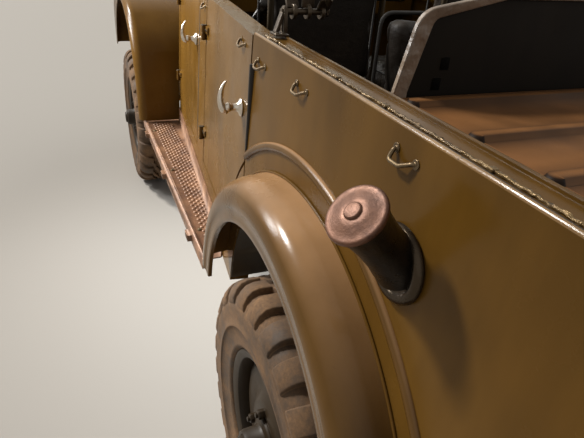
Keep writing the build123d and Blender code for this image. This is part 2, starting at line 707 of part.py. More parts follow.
def leaf_spring(axle_x, side):
    """Arched pack of leaves hung from the side member, with its clamp on the axle."""
    y = side * RAIL_Y
    count, span, sag = 5, 500.0, 28.0
    low = WHEEL_Z + AXLE_TUBE_R + 4
    bend = (span ** 2 + sag ** 2) / (2 * sag)
    centre_z = low + count * SPRING_LEAF + bend
    pack = None
    for row in range(count):
        radius = bend + row * SPRING_LEAF
        swing = (span - row * 92) / bend

        def at(r, a):
            return (axle_x + r * sin(a), centre_z - r * cos(a))

        upper = ThreePointArc(at(radius, -swing), at(radius, 0), at(radius, swing))
        lower_r = radius + SPRING_LEAF
        lower = ThreePointArc(at(lower_r, swing), at(lower_r, 0), at(lower_r, -swing))
        face = make_face([upper, Line(upper @ 1, lower @ 0), lower, Line(lower @ 1, upper @ 0)])
        leaf = slab_y(face, y - SPRING_W / 2, y + SPRING_W / 2)
        pack = leaf if pack is None else pack + leaf
    for s in (1, -1):
        x = axle_x + s * (span - 16)
        hanger_z = low + count * SPRING_LEAF + sag - 8
        pack += box(x - 14, x + 14, y - 26, y + 26, hanger_z, FRAME_BOTTOM_Z - FIT)
    return pack


def axle(x, steered):
    """Tube with a round differential and a spring seat each side."""
    z = WHEEL_Z
    ends = KINGPIN_Y - BALL_R * 0.8 if steered else WHEEL_Y - 60
    body = rod((x, -ends, z), (x, ends, z), AXLE_TUBE_R)
    bowl = Pos(x, 0, z) * Sphere(132)
    body += bowl & box(x - 105, x + 120, -150, 150, z - 140, z + 112)
    nose = -1 if steered else 1
    body += rod((x, 0, z), (x + nose * 190, 0, z + 14), 44)
    for side in (1, -1):
        y = side * RAIL_Y
        body += box(x - 55, x + 55, y - 38, y + 38, z - 20, z + AXLE_TUBE_R + 4 - FIT)
        if steered:
            pin_y = side * KINGPIN_Y
            ball = Pos(x, pin_y, z) * Sphere(BALL_R)
            body += ball & box(x - 100, x + 100, pin_y - 100, pin_y + 100, z - 56, z + 56)
            body -= rod((x, pin_y, z - 100), (x, pin_y, z + 100), KINGPIN_R + KINGPIN_FIT)
        else:
            body += rod((x, side * ends, z), (x, side * (ends + 8), z), 60)
            body += rod((x, side * ends, z), (x, side * (HUB_TIP_Y - 20), z), STUB_R)
    return body


def knuckle(side):
    """Half shell round the axle ball, with kingpin, stub and steering arm."""
    x, y, z = FRONT_AXLE_X, side * KINGPIN_Y, WHEEL_Z
    cup = Pos(x, y, z) * Sphere(CUP_OUT_R) - Pos(x, y, z) * Sphere(CUP_IN_R)
    keep = box(x - 120, x + 120, *sorted((y + side * 8, y + side * 120)), z - 120, z + 120)
    cup &= keep
    for low, high in ((64, 96), (-96, -64)):
        cap = rod((x, y, z + low), (x, y, z + high), 26)
        cup += cap
    strap = box(x - 22, x + 22, *sorted((y, y + side * 60)), z + CUP_IN_R + 3, z + 94)
    strap2 = box(x - 22, x + 22, *sorted((y, y + side * 60)), z - 94, z - CUP_IN_R - 3)
    body = cup + strap + strap2
    body += rod((x, y, z - 94), (x, y, z + 94), KINGPIN_R)
    body += rod((x, y + side * 74, z), (x, y + side * 92, z), 56)
    body += rod((x, y + side * 74, z), (x, side * (HUB_TIP_Y - 20), z), STUB_R)
    arm_y = side * ARM_Y
    root_x, end_x = x + 20, x - ARM_BACK - 16
    plan = poly((root_x, y - side * 20), (root_x, y + side * 20),
                (end_x, arm_y + side * 14), (end_x, arm_y - side * 14))
    arm = slab_z(plan, ARM_Z - 32, ARM_Z - 20)
    body += rod((x, y, ARM_Z - 32), (x, y, z - 90), 20)
    body += arm + rod((x - ARM_BACK, arm_y, ARM_Z - 30), (x - ARM_BACK, arm_y, ARM_Z + 14), ARM_PIN_R)
    return body


def tie_rod():
    """Rod with an eye on each steering arm's pin."""
    x = FRONT_AXLE_X - ARM_BACK
    rod_body = rod((x, -ARM_Y + 20, ARM_Z), (x, ARM_Y - 20, ARM_Z), 11)
    for side in (1, -1):
        y = side * ARM_Y
        rod_body += rod((x, y, ARM_Z - 13), (x, y, ARM_Z + 11), 22)
        rod_body -= rod((x, y, ARM_Z - 20), (x, y, ARM_Z + 20), ARM_PIN_R + HINGE_FIT)
    return rod_body


def drivetrain():
    """Gearbox, transfer case and the two propeller shafts."""
    gearbox = box(560, 880.7, -95, 95, 470, 590)
    transfer = box(200, 420, -165, 110, 420, 590)
    tail = rod((418, 0, 530), (562, 0, 530), 50)
    front = rod((418, -135, 450), (FRONT_AXLE_X - 198, 0, WHEEL_Z + 15), 28)
    rear = rod((202, 0, 480), (REAR_AXLE_X + 192, 0, WHEEL_Z + 15), 28)
    return gearbox + transfer + tail + front + rear


def wheel_profile():
    """Half section of the disc wheel, as radius against width from the wheel's middle."""
    behind = [(60, 96), (60, 60), (88, 44), (128, 30), (160, 34), (182, 20), (190, -62), (RIM_R, -70)]
    seat = [(RIM_R, -62), (200, -56), (194, 24), (200, 52), (RIM_R, 60), (RIM_R, 68)]
    ahead = [(188, 62), (184, 28), (164, 42), (126, 38), (92, 52), (66, 66), (66, 96)]
    return behind + seat + ahead


def tyre(x, side):
    """Tyre with shoulders, a round tread and open beads."""
    w, r, bead = TYRE_HALF_W, TYRE_R, RIM_R + FIT
    tread, round_r = 48.0, 44.0
    half = [(r, tread), (r - round_r * (1 - cos(pi / 6)), tread + round_r / 2),
            (r - round_r / 2, tread + round_r * cos(pi / 6)), (r - 70, w), (bead, 70), (bead, 52),
            (r - 92, w - 14), (r - 30, tread + 5)]
    edges = []
    for s in (1, -1):
        p = [(radius, s * width) for radius, width in half]
        edges.append(ThreePointArc(p[0], p[1], p[2]))
        edges.append(ThreePointArc(p[2], p[3], p[4]))
        edges.append(Line(p[4], p[5]))
        edges.append(ThreePointArc(p[5], p[6], p[7]))
    edges.append(Line((r, tread), (r, -tread)))
    edges.append(Line((r - 30, tread + 5), (r - 30, -tread - 5)))
    return wheel_turn(make_face(edges), x, side)


def wheel_turn(face, x, side):
    """Turn a half section about one wheel's axle."""
    centre = (x, side * WHEEL_Y, WHEEL_Z)
    plane = Plane(origin=centre, x_dir=(1, 0, 0), z_dir=(0, 0, side))
    return revolve(plane * face, Axis(centre, (0, 1, 0)), 360)


def rim(x, side):
    """Pressed disc wheel with its hub and drum."""
    tip = HUB_TIP_Y - WHEEL_Y
    bore = STUB_R + STUB_FIT
    hub = [(bore, -20), (58, -20), (58, 60), (66, 66), (66, 70), (44, 84), (44, tip - 14), (30, tip),
           (0, tip), (0, tip - 18), (bore, tip - 18)]
    disc = wheel_turn(poly(*wheel_profile()), x, side)
    drum = wheel_turn(poly((58, -22), (140, -22), (140, 22), (58, 22)), x, side)
    return disc + drum + wheel_turn(poly(*hub), x, side)


# Interior
def floor():
    """Floor pan, rear seat base, rear platform and toe board."""
    front_x, step_x = COWL_X - PLATE - FIT, -434
    y_front = side_point(DOOR, front_x, FLOOR_Z).Y - DOOR_THICK - 2
    y_step = side_point(DOOR, step_x, FLOOR_Z).Y - DOOR_THICK - 2
    y_seat = side_point(DOOR, step_x, PLATFORM_Z).Y - DOOR_THICK - 8
    pan = slab_z(poly((step_x, -y_step), (front_x, -y_front), (front_x, y_front), (step_x, y_step)),
                 FLOOR_Z, FLOOR_Z + PLATE)
    y_toe = side_point(DOOR, front_x, PLATFORM_Z + 10).Y - DOOR_THICK - 2
    toe_x, toe_top = 690, PLATFORM_Z + 10
    slope = poly((toe_x, FLOOR_Z), (front_x, toe_top - 6), (front_x, toe_top),
                 (toe_x - PLATE, FLOOR_Z + PLATE))
    toe = slab_y(slope, -y_toe, y_toe)
    riser = box(step_x, step_x + PLATE, -y_seat, y_seat, FLOOR_Z, PLATFORM_Z)
    rear = BODY_REAR_X + SKIN + FIT
    inner = WHEELHOUSE_IN_Y - FIT
    platform = box(rear + 60, step_x + PLATE, -inner, inner, PLATFORM_Z, PLATFORM_Z + PLATE)
    wide = side_point(QUARTER, ARCH_X, PLATFORM_Z).Y - SKIN - FIT
    for side in (1, -1):
        y0, y1 = sorted((side * (inner - 1), side * (wide - 1)))
        platform += box(rear + 90, ARCH_X - 336, y0, y1, PLATFORM_Z, PLATFORM_Z + PLATE)
        y0, y1 = sorted((side * (inner - 1), side * y_seat))
        platform += box(ARCH_X + 336, step_x + PLATE, y0, y1, PLATFORM_Z, PLATFORM_Z + PLATE)
    return pan + toe + riser + platform


def rear_deck():
    """Luggage deck with pressed cross ribs."""
    edge = RAIL_W + 2 * FIT
    tray = body_outline(edge)
    deck = tray & box(TAIL_X, DECK_FRONT_X, -900, 900, DECK_Z - PLATE, DECK_Z)
    step = BODY_REAR_X + GATE_THICK + 7
    deck += box(step, BODY_REAR_X + edge + 1, 10 - GATE_HALF, GATE_HALF - 10, DECK_Z - PLATE, DECK_Z)
    for x in RIBS_X:
        slot = SlotOverall(2 * RIB_HALF, RIB_W, rotation=90)
        deck += extrude(Plane.XY.offset(DECK_Z) * Pos(x, 0) * slot, amount=RIB_H, taper=32)
    band = box(TAIL_X, DECK_FRONT_X, -900, 900, DECK_Z - PLATE, RAIL_Z - 6)
    rim = (tray - body_outline(edge + PLATE)) & band
    rim -= box(TAIL_X, BODY_REAR_X + RAIL_W + 20, -GATE_HALF, GATE_HALF, DECK_Z, RAIL_Z)
    return deck + rim


def seat_back_panel():
    """Steel panel behind the rear seat, with a flange round its edge."""
    x = SEAT_BACK_X

    def arch(inset):
        foot_y, shoulder_y, crown_y = 508 - inset, 474 - inset, 300 - inset / 2
        foot_z, shoulder_z, crown_z = DECK_Z - 60 - inset / 30, 1266 - inset * 0.8, 1300 - inset
        face = poly((-foot_y, foot_z), (foot_y, foot_z), (foot_y, DECK_Z + 10), (shoulder_y, shoulder_z),
                    (crown_y, crown_z), (-crown_y, crown_z), (-shoulder_y, shoulder_z),
                    (-foot_y, DECK_Z + 10))
        bends = [v for v in face.vertices() if v.Y > 1200]
        return fillet(bends, 56 - inset)

    return slab_x(arch(0), x, x + PLATE) + slab_x(arch(0) - arch(SEAT_BACK_FLANGE), x - 8, x)


def rear_seat_pads():
    """Bench cushion and back, as plain solids."""
    cushion = fillet(box(-800, -400, -585, 585, PLATFORM_Z + PLATE + FIT, 872).edges(), 20)
    back = fillet(box(-892.7, -806, -520, 520, 880, 1262).edges(), 20)
    return [cushion, back]


def front_seat_pads():
    """Cushion and back of both front seats, as plain solids."""
    pads = []
    foot = SEAT_FRAME_Z + SEAT_FRAME_R + FIT
    rear = SEAT_BACK_TUBE_X + SEAT_BACK_TUBE_R + FIT
    for y in SEATS_Y:
        pads.append(fillet(box(-60, 390, y - 225, y + 225, foot, 910).edges(), 20))
        pads.append(fillet(box(rear, -84, y - 215, y + 215, 918, 1320).edges(), 20))
    return pads


def front_seat_frames():
    """Tube stands under and behind both front seats."""
    frames = []
    back_x, seat_z, r = SEAT_BACK_TUBE_X, SEAT_FRAME_Z, SEAT_BACK_TUBE_R
    rear_leg_x, front_leg_x = -30, 350
    for y in SEATS_Y:
        frame = rod((back_x, y - 202, 1240), (back_x, y + 202, 1240), r)
        frame += rod((rear_leg_x, y - 202, seat_z), (rear_leg_x, y + 202, seat_z), r)
        for dy in (-190, 190):
            frame += rod((back_x - 16, y + dy, seat_z), (front_leg_x + 20, y + dy, seat_z), SEAT_FRAME_R)
            frame += rod((back_x, y + dy, seat_z - 7), (back_x, y + dy, 1250), r)
            for x in (rear_leg_x, front_leg_x):
                frame += rod((x, y + dy, FLOOR_Z + PLATE + FIT), (x, y + dy, seat_z + 3), r)
        frames.append(frame)
    return frames


def steering_wheel():
    """Thin rim, three spokes and a hub on the column's end."""
    axis = Vector(*STEER_CENTRE) - Vector(*STEER_FOOT)
    plane = Plane(origin=STEER_CENTRE, x_dir=(0, 1, 0), z_dir=axis)
    wheel = plane * Torus(198, 10)
    for turn in (90, 210, 330):
        spoke = Rot(0, 0, turn) * (Pos(110, 0, -6) * Box(190, 16, 7))
        wheel += plane * spoke
    hub = Pos(0, 0, -8) * Cylinder(34, 34)
    wheel += plane * hub
    bore = plane * (Pos(0, 0, -20) * Cylinder(9 + HINGE_FIT, 40))
    return wheel - bore


def steering_column():
    """Column tube through the firewall, with the wheel's shaft on top."""
    axis = (Vector(*STEER_CENTRE) - Vector(*STEER_FOOT)).normalized()
    top = Vector(*STEER_CENTRE) - axis * 36
    tip = Vector(*STEER_CENTRE) - axis * 4
    column = rod(STEER_FOOT, tuple(top), 22)
    return column + rod(tuple(top), tuple(tip), 9)


def levers():
    """Gear, transfer and hand brake levers, and three pedals."""
    pieces = []
    base = FLOOR_Z + PLATE + FIT
    rods = (
        # x, y, lean, height
        (470, 40, -70, 420),
        (440, -10, -40, 330),
        (420, -60, -40, 330),
        (330, 50, -120, 290),
    )
    for x, y, lean, height in rods:
        lever = rod((x, y, base + 4), (x + lean, y, FLOOR_Z + height), 8)
        lever += rod((x, y, base), (x, y, base + 14), 17)
        pieces.append(lever + Pos(x + lean, y, FLOOR_Z + height) * Sphere(18))
    for y in PEDALS_Y:
        pad = box(716, 722, y - 30, y + 30, 800, 870)
        pieces.append(pad + box(722, COWL_X - PLATE - FIT, y - 8, y + 8, 840, 856))
    return pieces


# Fuel filler on the left quarter
FILLER_FOOT = (-1299.0, BODY_HALF_W + 9.0, 1031.0)
FILLER_TOP = (-1310.0, BODY_HALF_W + 82.0, 1112.0)


def filler_neck():
    """Thick ring on the body and a short neck that rises outward."""
    foot, top = Vector(*FILLER_FOOT), Vector(*FILLER_TOP)
    axis = (top - foot).normalized()
    ring = QUARTER * (Pos(*flat(FILLER_FOOT[0], FILLER_FOOT[2]), 6.3) * Torus(44, 6))
    neck = rod(tuple(foot - axis * 2), tuple(top), 27)
    base = plane_slab(QUARTER, Pos(*flat(FILLER_FOOT[0], FILLER_FOOT[2])) * Circle(42), FIT, 6)
    return (ring + base + neck) - inside_of_body(FIT)


def filler_cap():
    """Domed disc with a rolled rim and a raised boss."""
    foot, top = Vector(*FILLER_FOOT), Vector(*FILLER_TOP)
    axis = (top - foot).normalized()
    plane = Plane(origin=tuple(top), z_dir=axis)
    outline = [
        Line((0, FIT), (34, FIT)),
        ThreePointArc((34, FIT), (38, 5), (34, 10)),
        ThreePointArc((34, 10), (24, 13), (15, 14)),
        Line((15, 14), (13, 19)),
        Line((13, 19), (0, 19)),
        Line((0, 19), (0, FIT)),
    ]
    return plane * revolve(Plane.XZ * make_face(outline), Axis.Z, 360)


# Folding top
def bow(name, radius, half, angle):
    """One hoop of the folding top, turned up to its rest angle."""
    corner = 90.0
    run = radius - BOW_R
    path = Polyline((0, half), (run, half), (run, -half), (0, -half))
    path = fillet(path.vertices().sort_by(Axis.X)[-2:], corner)
    hoop = sweep(Plane(origin=(0, half, 0), z_dir=(1, 0, 0)) * Circle(BOW_R), path=path)
    for side in (1, -1):
        hoop += rod((0, side * half - BOW_EYE_W / 2, 0), (0, side * half + BOW_EYE_W / 2, 0), BOW_EYE_R)
    for side in (1, -1):
        hoop -= rod((0, side * half - 30, 0), (0, side * half + 30, 0), BOW_PIN_R + HINGE_FIT)
    return Pos(TOP_PIN_X, 0, TOP_PIN_Z) * (Rot(0, angle - 180, 0) * hoop)


def top_brackets():
    """Forked stands on the rails with the pin that carries the bows."""
    stands = []
    x, seat_z = TOP_PIN_X, RAIL_Z + 5 + FIT
    for side in (1, -1):
        inner, outer = side * TOP_CHEEK_Y, side * (TOP_CHEEK_Y + 8)
        pin = rod((x, inner - side * 100, TOP_PIN_Z), (x, outer - side * 2, TOP_PIN_Z), BOW_PIN_R)
        foot = box(x - 34, x + 10, *sorted((inner, side * (BODY_HALF_W - 15))), seat_z, RAIL_Z + 12)
        cheek = box(x - 16, x + 10, *sorted((inner, outer)), seat_z, TOP_PIN_Z + 18)
        stands.append(pin + foot + cheek)
    return stands


def tailgate():
    """Drop gate with a folded edge and its hinge barrels."""
    leaf = box(BODY_REAR_X, BODY_REAR_X + GATE_THICK, GATE_GAP - GATE_HALF, GATE_HALF - GATE_GAP,
               GATE_BOTTOM_Z + GATE_GAP, RAIL_Z)
    leaf -= box(BODY_REAR_X + 6, BODY_REAR_X + GATE_THICK + 1, 40 - GATE_HALF, GATE_HALF - 40,
                GATE_BOTTOM_Z + 40, RAIL_Z - 40)
    x, z = GATE_HINGE_X, GATE_HINGE_Z
    for y in GATE_HINGES_Y:
        leaf += rod((x, y + 1, z), (x, y + 40, z), 8) + box(x, BODY_REAR_X + 2, y + 1, y + 40, z, z + 30)
        leaf -= rod((x, y, z), (x, y + 41, z), HINGE_PIN_R + HINGE_FIT)
    return leaf


def gate_knuckles():
    """The body's hinge halves and pins under the tailgate."""
    x, z = GATE_HINGE_X, GATE_HINGE_Z
    halves = None
    for y in GATE_HINGES_Y:
        half = rod((x, y - 40, z), (x, y - 1, z), 8) + box(x, BODY_REAR_X + 2, y - 40, y - 1, z - 26, z)
        half += rod((x, y - 40, z), (x, y + 40, z), HINGE_PIN_R)
        halves = half if halves is None else halves + half
    return halves


def fuel_tank():
    """Tank between the side members under the rear platform."""
    return fillet(box(-1820, -1420, -340, 340, 566, PLATFORM_Z - FIT).edges(), 24)


def exhaust():
    """Silencer under the floor, with its front and tail pipes."""
    y, z = -270, CROSS_Z - 62 - FIT
    muffler = rod((-320, y, z), (200, y, z), 62)
    front = rod((198, y, z), (860, y + 50, z + 60), 22)
    tail = rod((-318, y, z), (-460, y, z - 14), 20)
    return muffler + front + tail


def engine():
    """Plain engine block and the radiator ahead of it."""
    foot = CROSS_TOP_Z + FIT
    return [box(900, 1480, -190, 190, foot, 1010), box(1650, 1712, -270, 270, foot, 1030)]


def main():
    """Build every node."""
    os.makedirs("parts", exist_ok=True)
    save("chassis_frame", chassis_frame())
    save("leaf_springs", *[leaf_spring(x, s) for x in (REAR_AXLE_X, FRONT_AXLE_X) for s in (1, -1)])
    save("front_axle", axle(FRONT_AXLE_X, True))
    save("rear_axle", axle(REAR_AXLE_X, False))
    save("tie_rod", tie_rod())
    save("drivetrain", drivetrain())
    save("engine_and_radiator", *engine())
    save("fuel_tank", fuel_tank())
    save("exhaust", exhaust())
    save("bumpers", *bumpers())
    save("quarter_panels", quarter_panels())
    save("wheelhouses", wheelhouses(), mirrored(wheelhouses()))
    fender, nose = rear_fender(), front_fender()
    save("rear_fenders", fender, mirrored(fender))
    save("front_fenders", nose, mirrored(nose))
    board = running_board()
    save("running_boards", board, mirrored(board))
    posts = door_posts()
    for z in hinge_heights():
        posts += hinge_knuckle(REAR_DOOR_FRONT_X, z)
    save("door_posts", posts, mirrored(posts))
    front_hinges = cowl()
    for z in hinge_heights():
        pin = hinge_knuckle(FRONT_DOOR_FRONT_X, z)
        front_hinges = front_hinges + pin + mirrored(pin)
    for stand in windshield_hinges():
        front_hinges += stand
    save("cowl", front_hinges)
    save("floor", floor())
    save("rear_deck", rear_deck())
    save("seat_back_panel", seat_back_panel())
    save("rear_seat_pads", *rear_seat_pads())
    save("front_seat_pads", *front_seat_pads())
    save("front_seat_frames", *front_seat_frames())
    save("steering_column", steering_column())
    save("steering_wheel", steering_wheel())
    save("levers", *levers())
    save("grille_panel", grille_panel())
    save("lamps", head_lamp(308), head_lamp(-308), tail_lamp(1), tail_lamp(-1))
    save("hood", hood())
    save("windshield_frame", windshield_frame())
    save("windshield_glass", windshield_glass())
    save("tailgate", tailgate())
    save("filler_neck", filler_neck())
    save("filler_cap", filler_cap())
    save("top_brackets", *top_brackets())
    for name, radius, half, angle in BOWS:
        save(f"top_bow_{name}", bow(name, radius, half, angle))
    doors = {
        "front": (FRONT_DOOR_FRONT_X, FRONT_DOOR_REAR_X, False),
        "rear": (REAR_DOOR_FRONT_X, KINK_X + DOOR_GAP / 2, True),
    }
    for end, (front_x, rear_x, arch) in doors.items():
        leaf, lever = door(front_x, rear_x, arch), handle(rear_x)
        save(f"{end}_left_door", leaf)
        save(f"{end}_right_door", mirrored(leaf))
        save(f"{end}_left_handle", lever)
        save(f"{end}_right_handle", mirrored(lever))
    for side, hand in ((1, "left"), (-1, "right")):
        save(f"{hand}_knuckle", knuckle(side))
        for end, x in (("front", FRONT_AXLE_X), ("rear", REAR_AXLE_X)):
            save(f"{end}_{hand}_tyre", tyre(x, side))
            save(f"{end}_{hand}_wheel", rim(x, side))


main()
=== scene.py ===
"""Looks for a light open-top four-wheel-drive field car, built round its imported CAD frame."""
from __future__ import annotations

import json
import logging
import math
import random
from dataclasses import dataclass
from enum import Enum
from typing import Callable, Iterable, Sequence

import bpy
from mathutils import Matrix, Vector

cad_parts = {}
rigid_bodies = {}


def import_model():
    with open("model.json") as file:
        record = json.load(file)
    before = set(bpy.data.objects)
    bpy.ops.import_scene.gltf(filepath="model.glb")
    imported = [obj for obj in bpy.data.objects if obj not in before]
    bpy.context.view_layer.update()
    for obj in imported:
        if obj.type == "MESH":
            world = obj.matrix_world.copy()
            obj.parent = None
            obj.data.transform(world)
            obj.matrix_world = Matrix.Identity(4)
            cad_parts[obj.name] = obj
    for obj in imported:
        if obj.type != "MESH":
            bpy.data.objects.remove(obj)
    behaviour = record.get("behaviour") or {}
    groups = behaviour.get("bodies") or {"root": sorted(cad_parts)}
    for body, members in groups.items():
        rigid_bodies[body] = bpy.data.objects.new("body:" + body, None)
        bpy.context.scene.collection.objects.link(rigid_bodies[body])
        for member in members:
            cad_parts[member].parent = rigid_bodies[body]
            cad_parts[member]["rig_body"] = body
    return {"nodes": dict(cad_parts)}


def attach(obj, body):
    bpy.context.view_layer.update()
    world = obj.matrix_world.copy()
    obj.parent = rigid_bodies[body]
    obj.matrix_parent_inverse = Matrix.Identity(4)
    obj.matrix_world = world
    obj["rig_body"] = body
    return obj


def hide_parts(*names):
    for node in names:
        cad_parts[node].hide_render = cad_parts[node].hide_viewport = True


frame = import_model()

log = logging.getLogger("field_car")
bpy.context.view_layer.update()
ROOT = "body"
MERGE = 0.00005
ORIGIN = (0, 0, 0)
AHEAD = (1, 0, 0)
BACK = (-1, 0, 0)
ACROSS = (0, 1, 0)
UP = (0, 0, 1)
Point = Sequence[float]
Piece = bpy.types.Object
Node = bpy.types.Node


class Side(Enum):
    """Left or right of the car, with the sign of its Y values."""

    LEFT = 1
    RIGHT = -1

    @property
    def word(self) -> str:
        """The side's word in node and body names."""
        return self.name.lower()


class Shape(Enum):
    """Edge treatments for a copied CAD panel."""

    SHEET = 28.0
    RIBBED = 24.0
    CAST = 40.0
    ROUND = 62.0


# Finishes

def tint(red: int, green: int, blue: int) -> tuple[float, float, float, float]:
    """Linear colour of an sRGB triple.

    Args:
        red, green, blue: sRGB values from 0 to 255.

    Returns:
        Linear RGBA with full alpha.
    """
    def linear(value: int) -> float:
        """One channel's linear share."""
        c = value / 255
        return c / 12.92 if c <= 0.04045 else ((c + 0.055) / 1.055) ** 2.4

    return (linear(red), linear(green), linear(blue), 1.0)


class Web:
    """A material's node tree, with short calls to add and join nodes."""

    def __init__(self, name: str) -> None:
        """Start an empty tree with a Principled shader and its output.

        Args:
            name: the material's name.
        """
        self.material = bpy.data.materials.new(name)
        self.material.use_nodes = True
        self.tree = self.material.node_tree
        self.tree.nodes.clear()
        self.out = self.add("ShaderNodeOutputMaterial")
        self.shader = self.add("ShaderNodeBsdfPrincipled")
        self.join(self.shader, "BSDF", self.out, "Surface")
        self.place = self.add("ShaderNodeTexCoord")

    def add(self, kind: str, **settings: object) -> Node:
        """Add a node and set its properties.

        Args:
            kind: Blender's node type.
            settings: properties of the node.

        Returns:
            The new node.
        """
        node = self.tree.nodes.new(kind)
        for key, value in settings.items():
            setattr(node, key, value)
        return node

    def join(self, a: Node, out: str | int, b: Node, into: str | int) -> None:
        """Link an output of a to an input of b."""
        self.tree.links.new(a.outputs[out], b.inputs[into])

    def noise(self, scale: float, detail: float = 4.0, rough: float = 0.55,
              stretch: Point = (1, 1, 1), offset: Point = (0, 0, 0)) -> Node:
        """Noise over Object coordinates.

        Args:
            scale: cells per metre.
            detail: octaves.
            rough: share kept by each octave.
            stretch: scale of each axis.
            offset: move of the pattern.

        Returns:
            The noise node.
        """
        mapping = self.add("ShaderNodeMapping")
        mapping.inputs["Scale"].default_value = stretch
        mapping.inputs["Location"].default_value = offset
        self.join(self.place, "Object", mapping, "Vector")
        node = self.add("ShaderNodeTexNoise")
        node.inputs["Scale"].default_value = scale
        node.inputs["Detail"].default_value = detail
        node.inputs["Roughness"].default_value = rough
        self.join(mapping, 0, node, "Vector")
        return node

    def ramp(self, source: Node, out: str | int, low: float, high: float,
             a: float = 0.0, b: float = 1.0) -> Node:
        """A value mapped from low..high to a..b, clamped.

        Args:
            source: node that gives the value.
            out: which of its outputs.
            low, high: values that become a and b.
            a, b: results at those values.

        Returns:
            The node, with the result as its first output.
        """
        node = self.add("ShaderNodeMapRange")
        for key, value in (("From Min", low), ("From Max", high), ("To Min", a), ("To Max", b)):
            node.inputs[key].default_value = value
        self.join(source, out, node, "Value")
        return node

    def combine(self, operation: str, a: Node, b: Node) -> Node:
        """Two nodes' first outputs, combined.

        Args:
            operation: Blender's name of the sum, such as ADD or MAXIMUM.
            a, b: the nodes.

        Returns:
            The node of the result.
        """
        node = self.add("ShaderNodeMath", operation=operation)
        self.join(a, 0, node, 0)
        self.join(b, 0, node, 1)
        return node

    def times(self, a: Node, b: Node) -> Node:
        """Product of two nodes' first outputs."""
        return self.combine("MULTIPLY", a, b)

    def blend(self, share: Node | float, first: object, second: object) -> Node:
        """Mix two colours, each a constant or a colour node.

        Args:
            share: node whose first output is the share of second, or a constant.
            first: colour tuple or Mix node.
            second: colour tuple or Mix node.

        Returns:
            The Mix node; its colour is output 2.
        """
        mix = self.add("ShaderNodeMix", data_type="RGBA")
        if isinstance(share, float):
            mix.inputs[0].default_value = share
        else:
            self.join(share, 0, mix, 0)
        for value, slot in ((first, 6), (second, 7)):
            if isinstance(value, tuple):
                mix.inputs[slot].default_value = value
            else:
                self.join(value, 2, mix, slot)
        return mix

    def height(self) -> Node:
        """Object coordinates taken apart.

        Returns:
            The node; the height is its output 2.
        """
        split = self.add("ShaderNodeSeparateXYZ")
        self.join(self.place, "Object", split, 0)
        return split

    def facing_up(self, low: float = 0.35, high: float = 0.95) -> Node:
        """How much the surface faces up, from 0 at the low Z of its normal to 1 at the high one.

        Args:
            low, high: Z of the normal at each end.

        Returns:
            The node of the share.
        """
        split = self.add("ShaderNodeSeparateXYZ")
        self.join(self.place, "Normal", split, 0)
        return self.ramp(split, 2, low, high)

    def edges(self, radius: float) -> tuple[Node, Node]:
        """A rounded normal, and a mask that is 1 along sharp edges.

        Args:
            radius: how far the rounding reaches.

        Returns:
            The node of the normal and that of the mask.
        """
        bevel = self.add("ShaderNodeBevel", samples=4)
        bevel.inputs["Radius"].default_value = radius
        geometry = self.add("ShaderNodeNewGeometry")
        dot = self.add("ShaderNodeVectorMath", operation="DOT_PRODUCT")
        self.join(bevel, 0, dot, 0)
        self.join(geometry, "Normal", dot, 1)
        return bevel, self.ramp(dot, "Value", 0.97, 0.8)

    def bump(self, source: Node, distance: float, strength: float = 1.0,
             under: Node | None = None) -> Node:
        """A bump from a node's first output, over a normal from another node.

        Args:
            source: node that gives the height.
            distance: height of a full step in metres.
            strength: share of the bump.
            under: node of the normal that it lies on.

        Returns:
            The bump node.
        """
        node = self.add("ShaderNodeBump")
        node.inputs["Distance"].default_value = distance
        node.inputs["Strength"].default_value = strength
        self.join(source, 0, node, "Height")
        if under is not None:
            self.join(under, 0, node, "Normal")
        return node

    def finish(self, colour: object, rough: object, normal: Node | None = None,
               metal: float = 0.0, coat: float = 0.0, **more: float) -> bpy.types.Material:
        """Feed the shader and return the material.

        Args:
            colour: colour tuple or Mix node.
            rough: constant or node.
            normal: node with a normal as first output.
            metal: metallic share.
            coat: clear coat weight.
            more: other sockets of the shader, with spaces as underscores.

        Returns:
            The finished material.
        """
        if isinstance(colour, tuple):
            self.shader.inputs["Base Color"].default_value = colour
        else:
            self.join(colour, 2, self.shader, "Base Color")
        if isinstance(rough, float):
            self.shader.inputs["Roughness"].default_value = rough
        else:
            self.join(rough, 0, self.shader, "Roughness")
        if normal is not None:
            self.join(normal, 0, self.shader, "Normal")
        self.shader.inputs["Metallic"].default_value = metal
        self.shader.inputs["Coat Weight"].default_value = coat
        self.shader.inputs["Coat Roughness"].default_value = 0.12
        for key, value in more.items():
            self.shader.inputs[key.replace("_", " ")].default_value = value
        return self.material


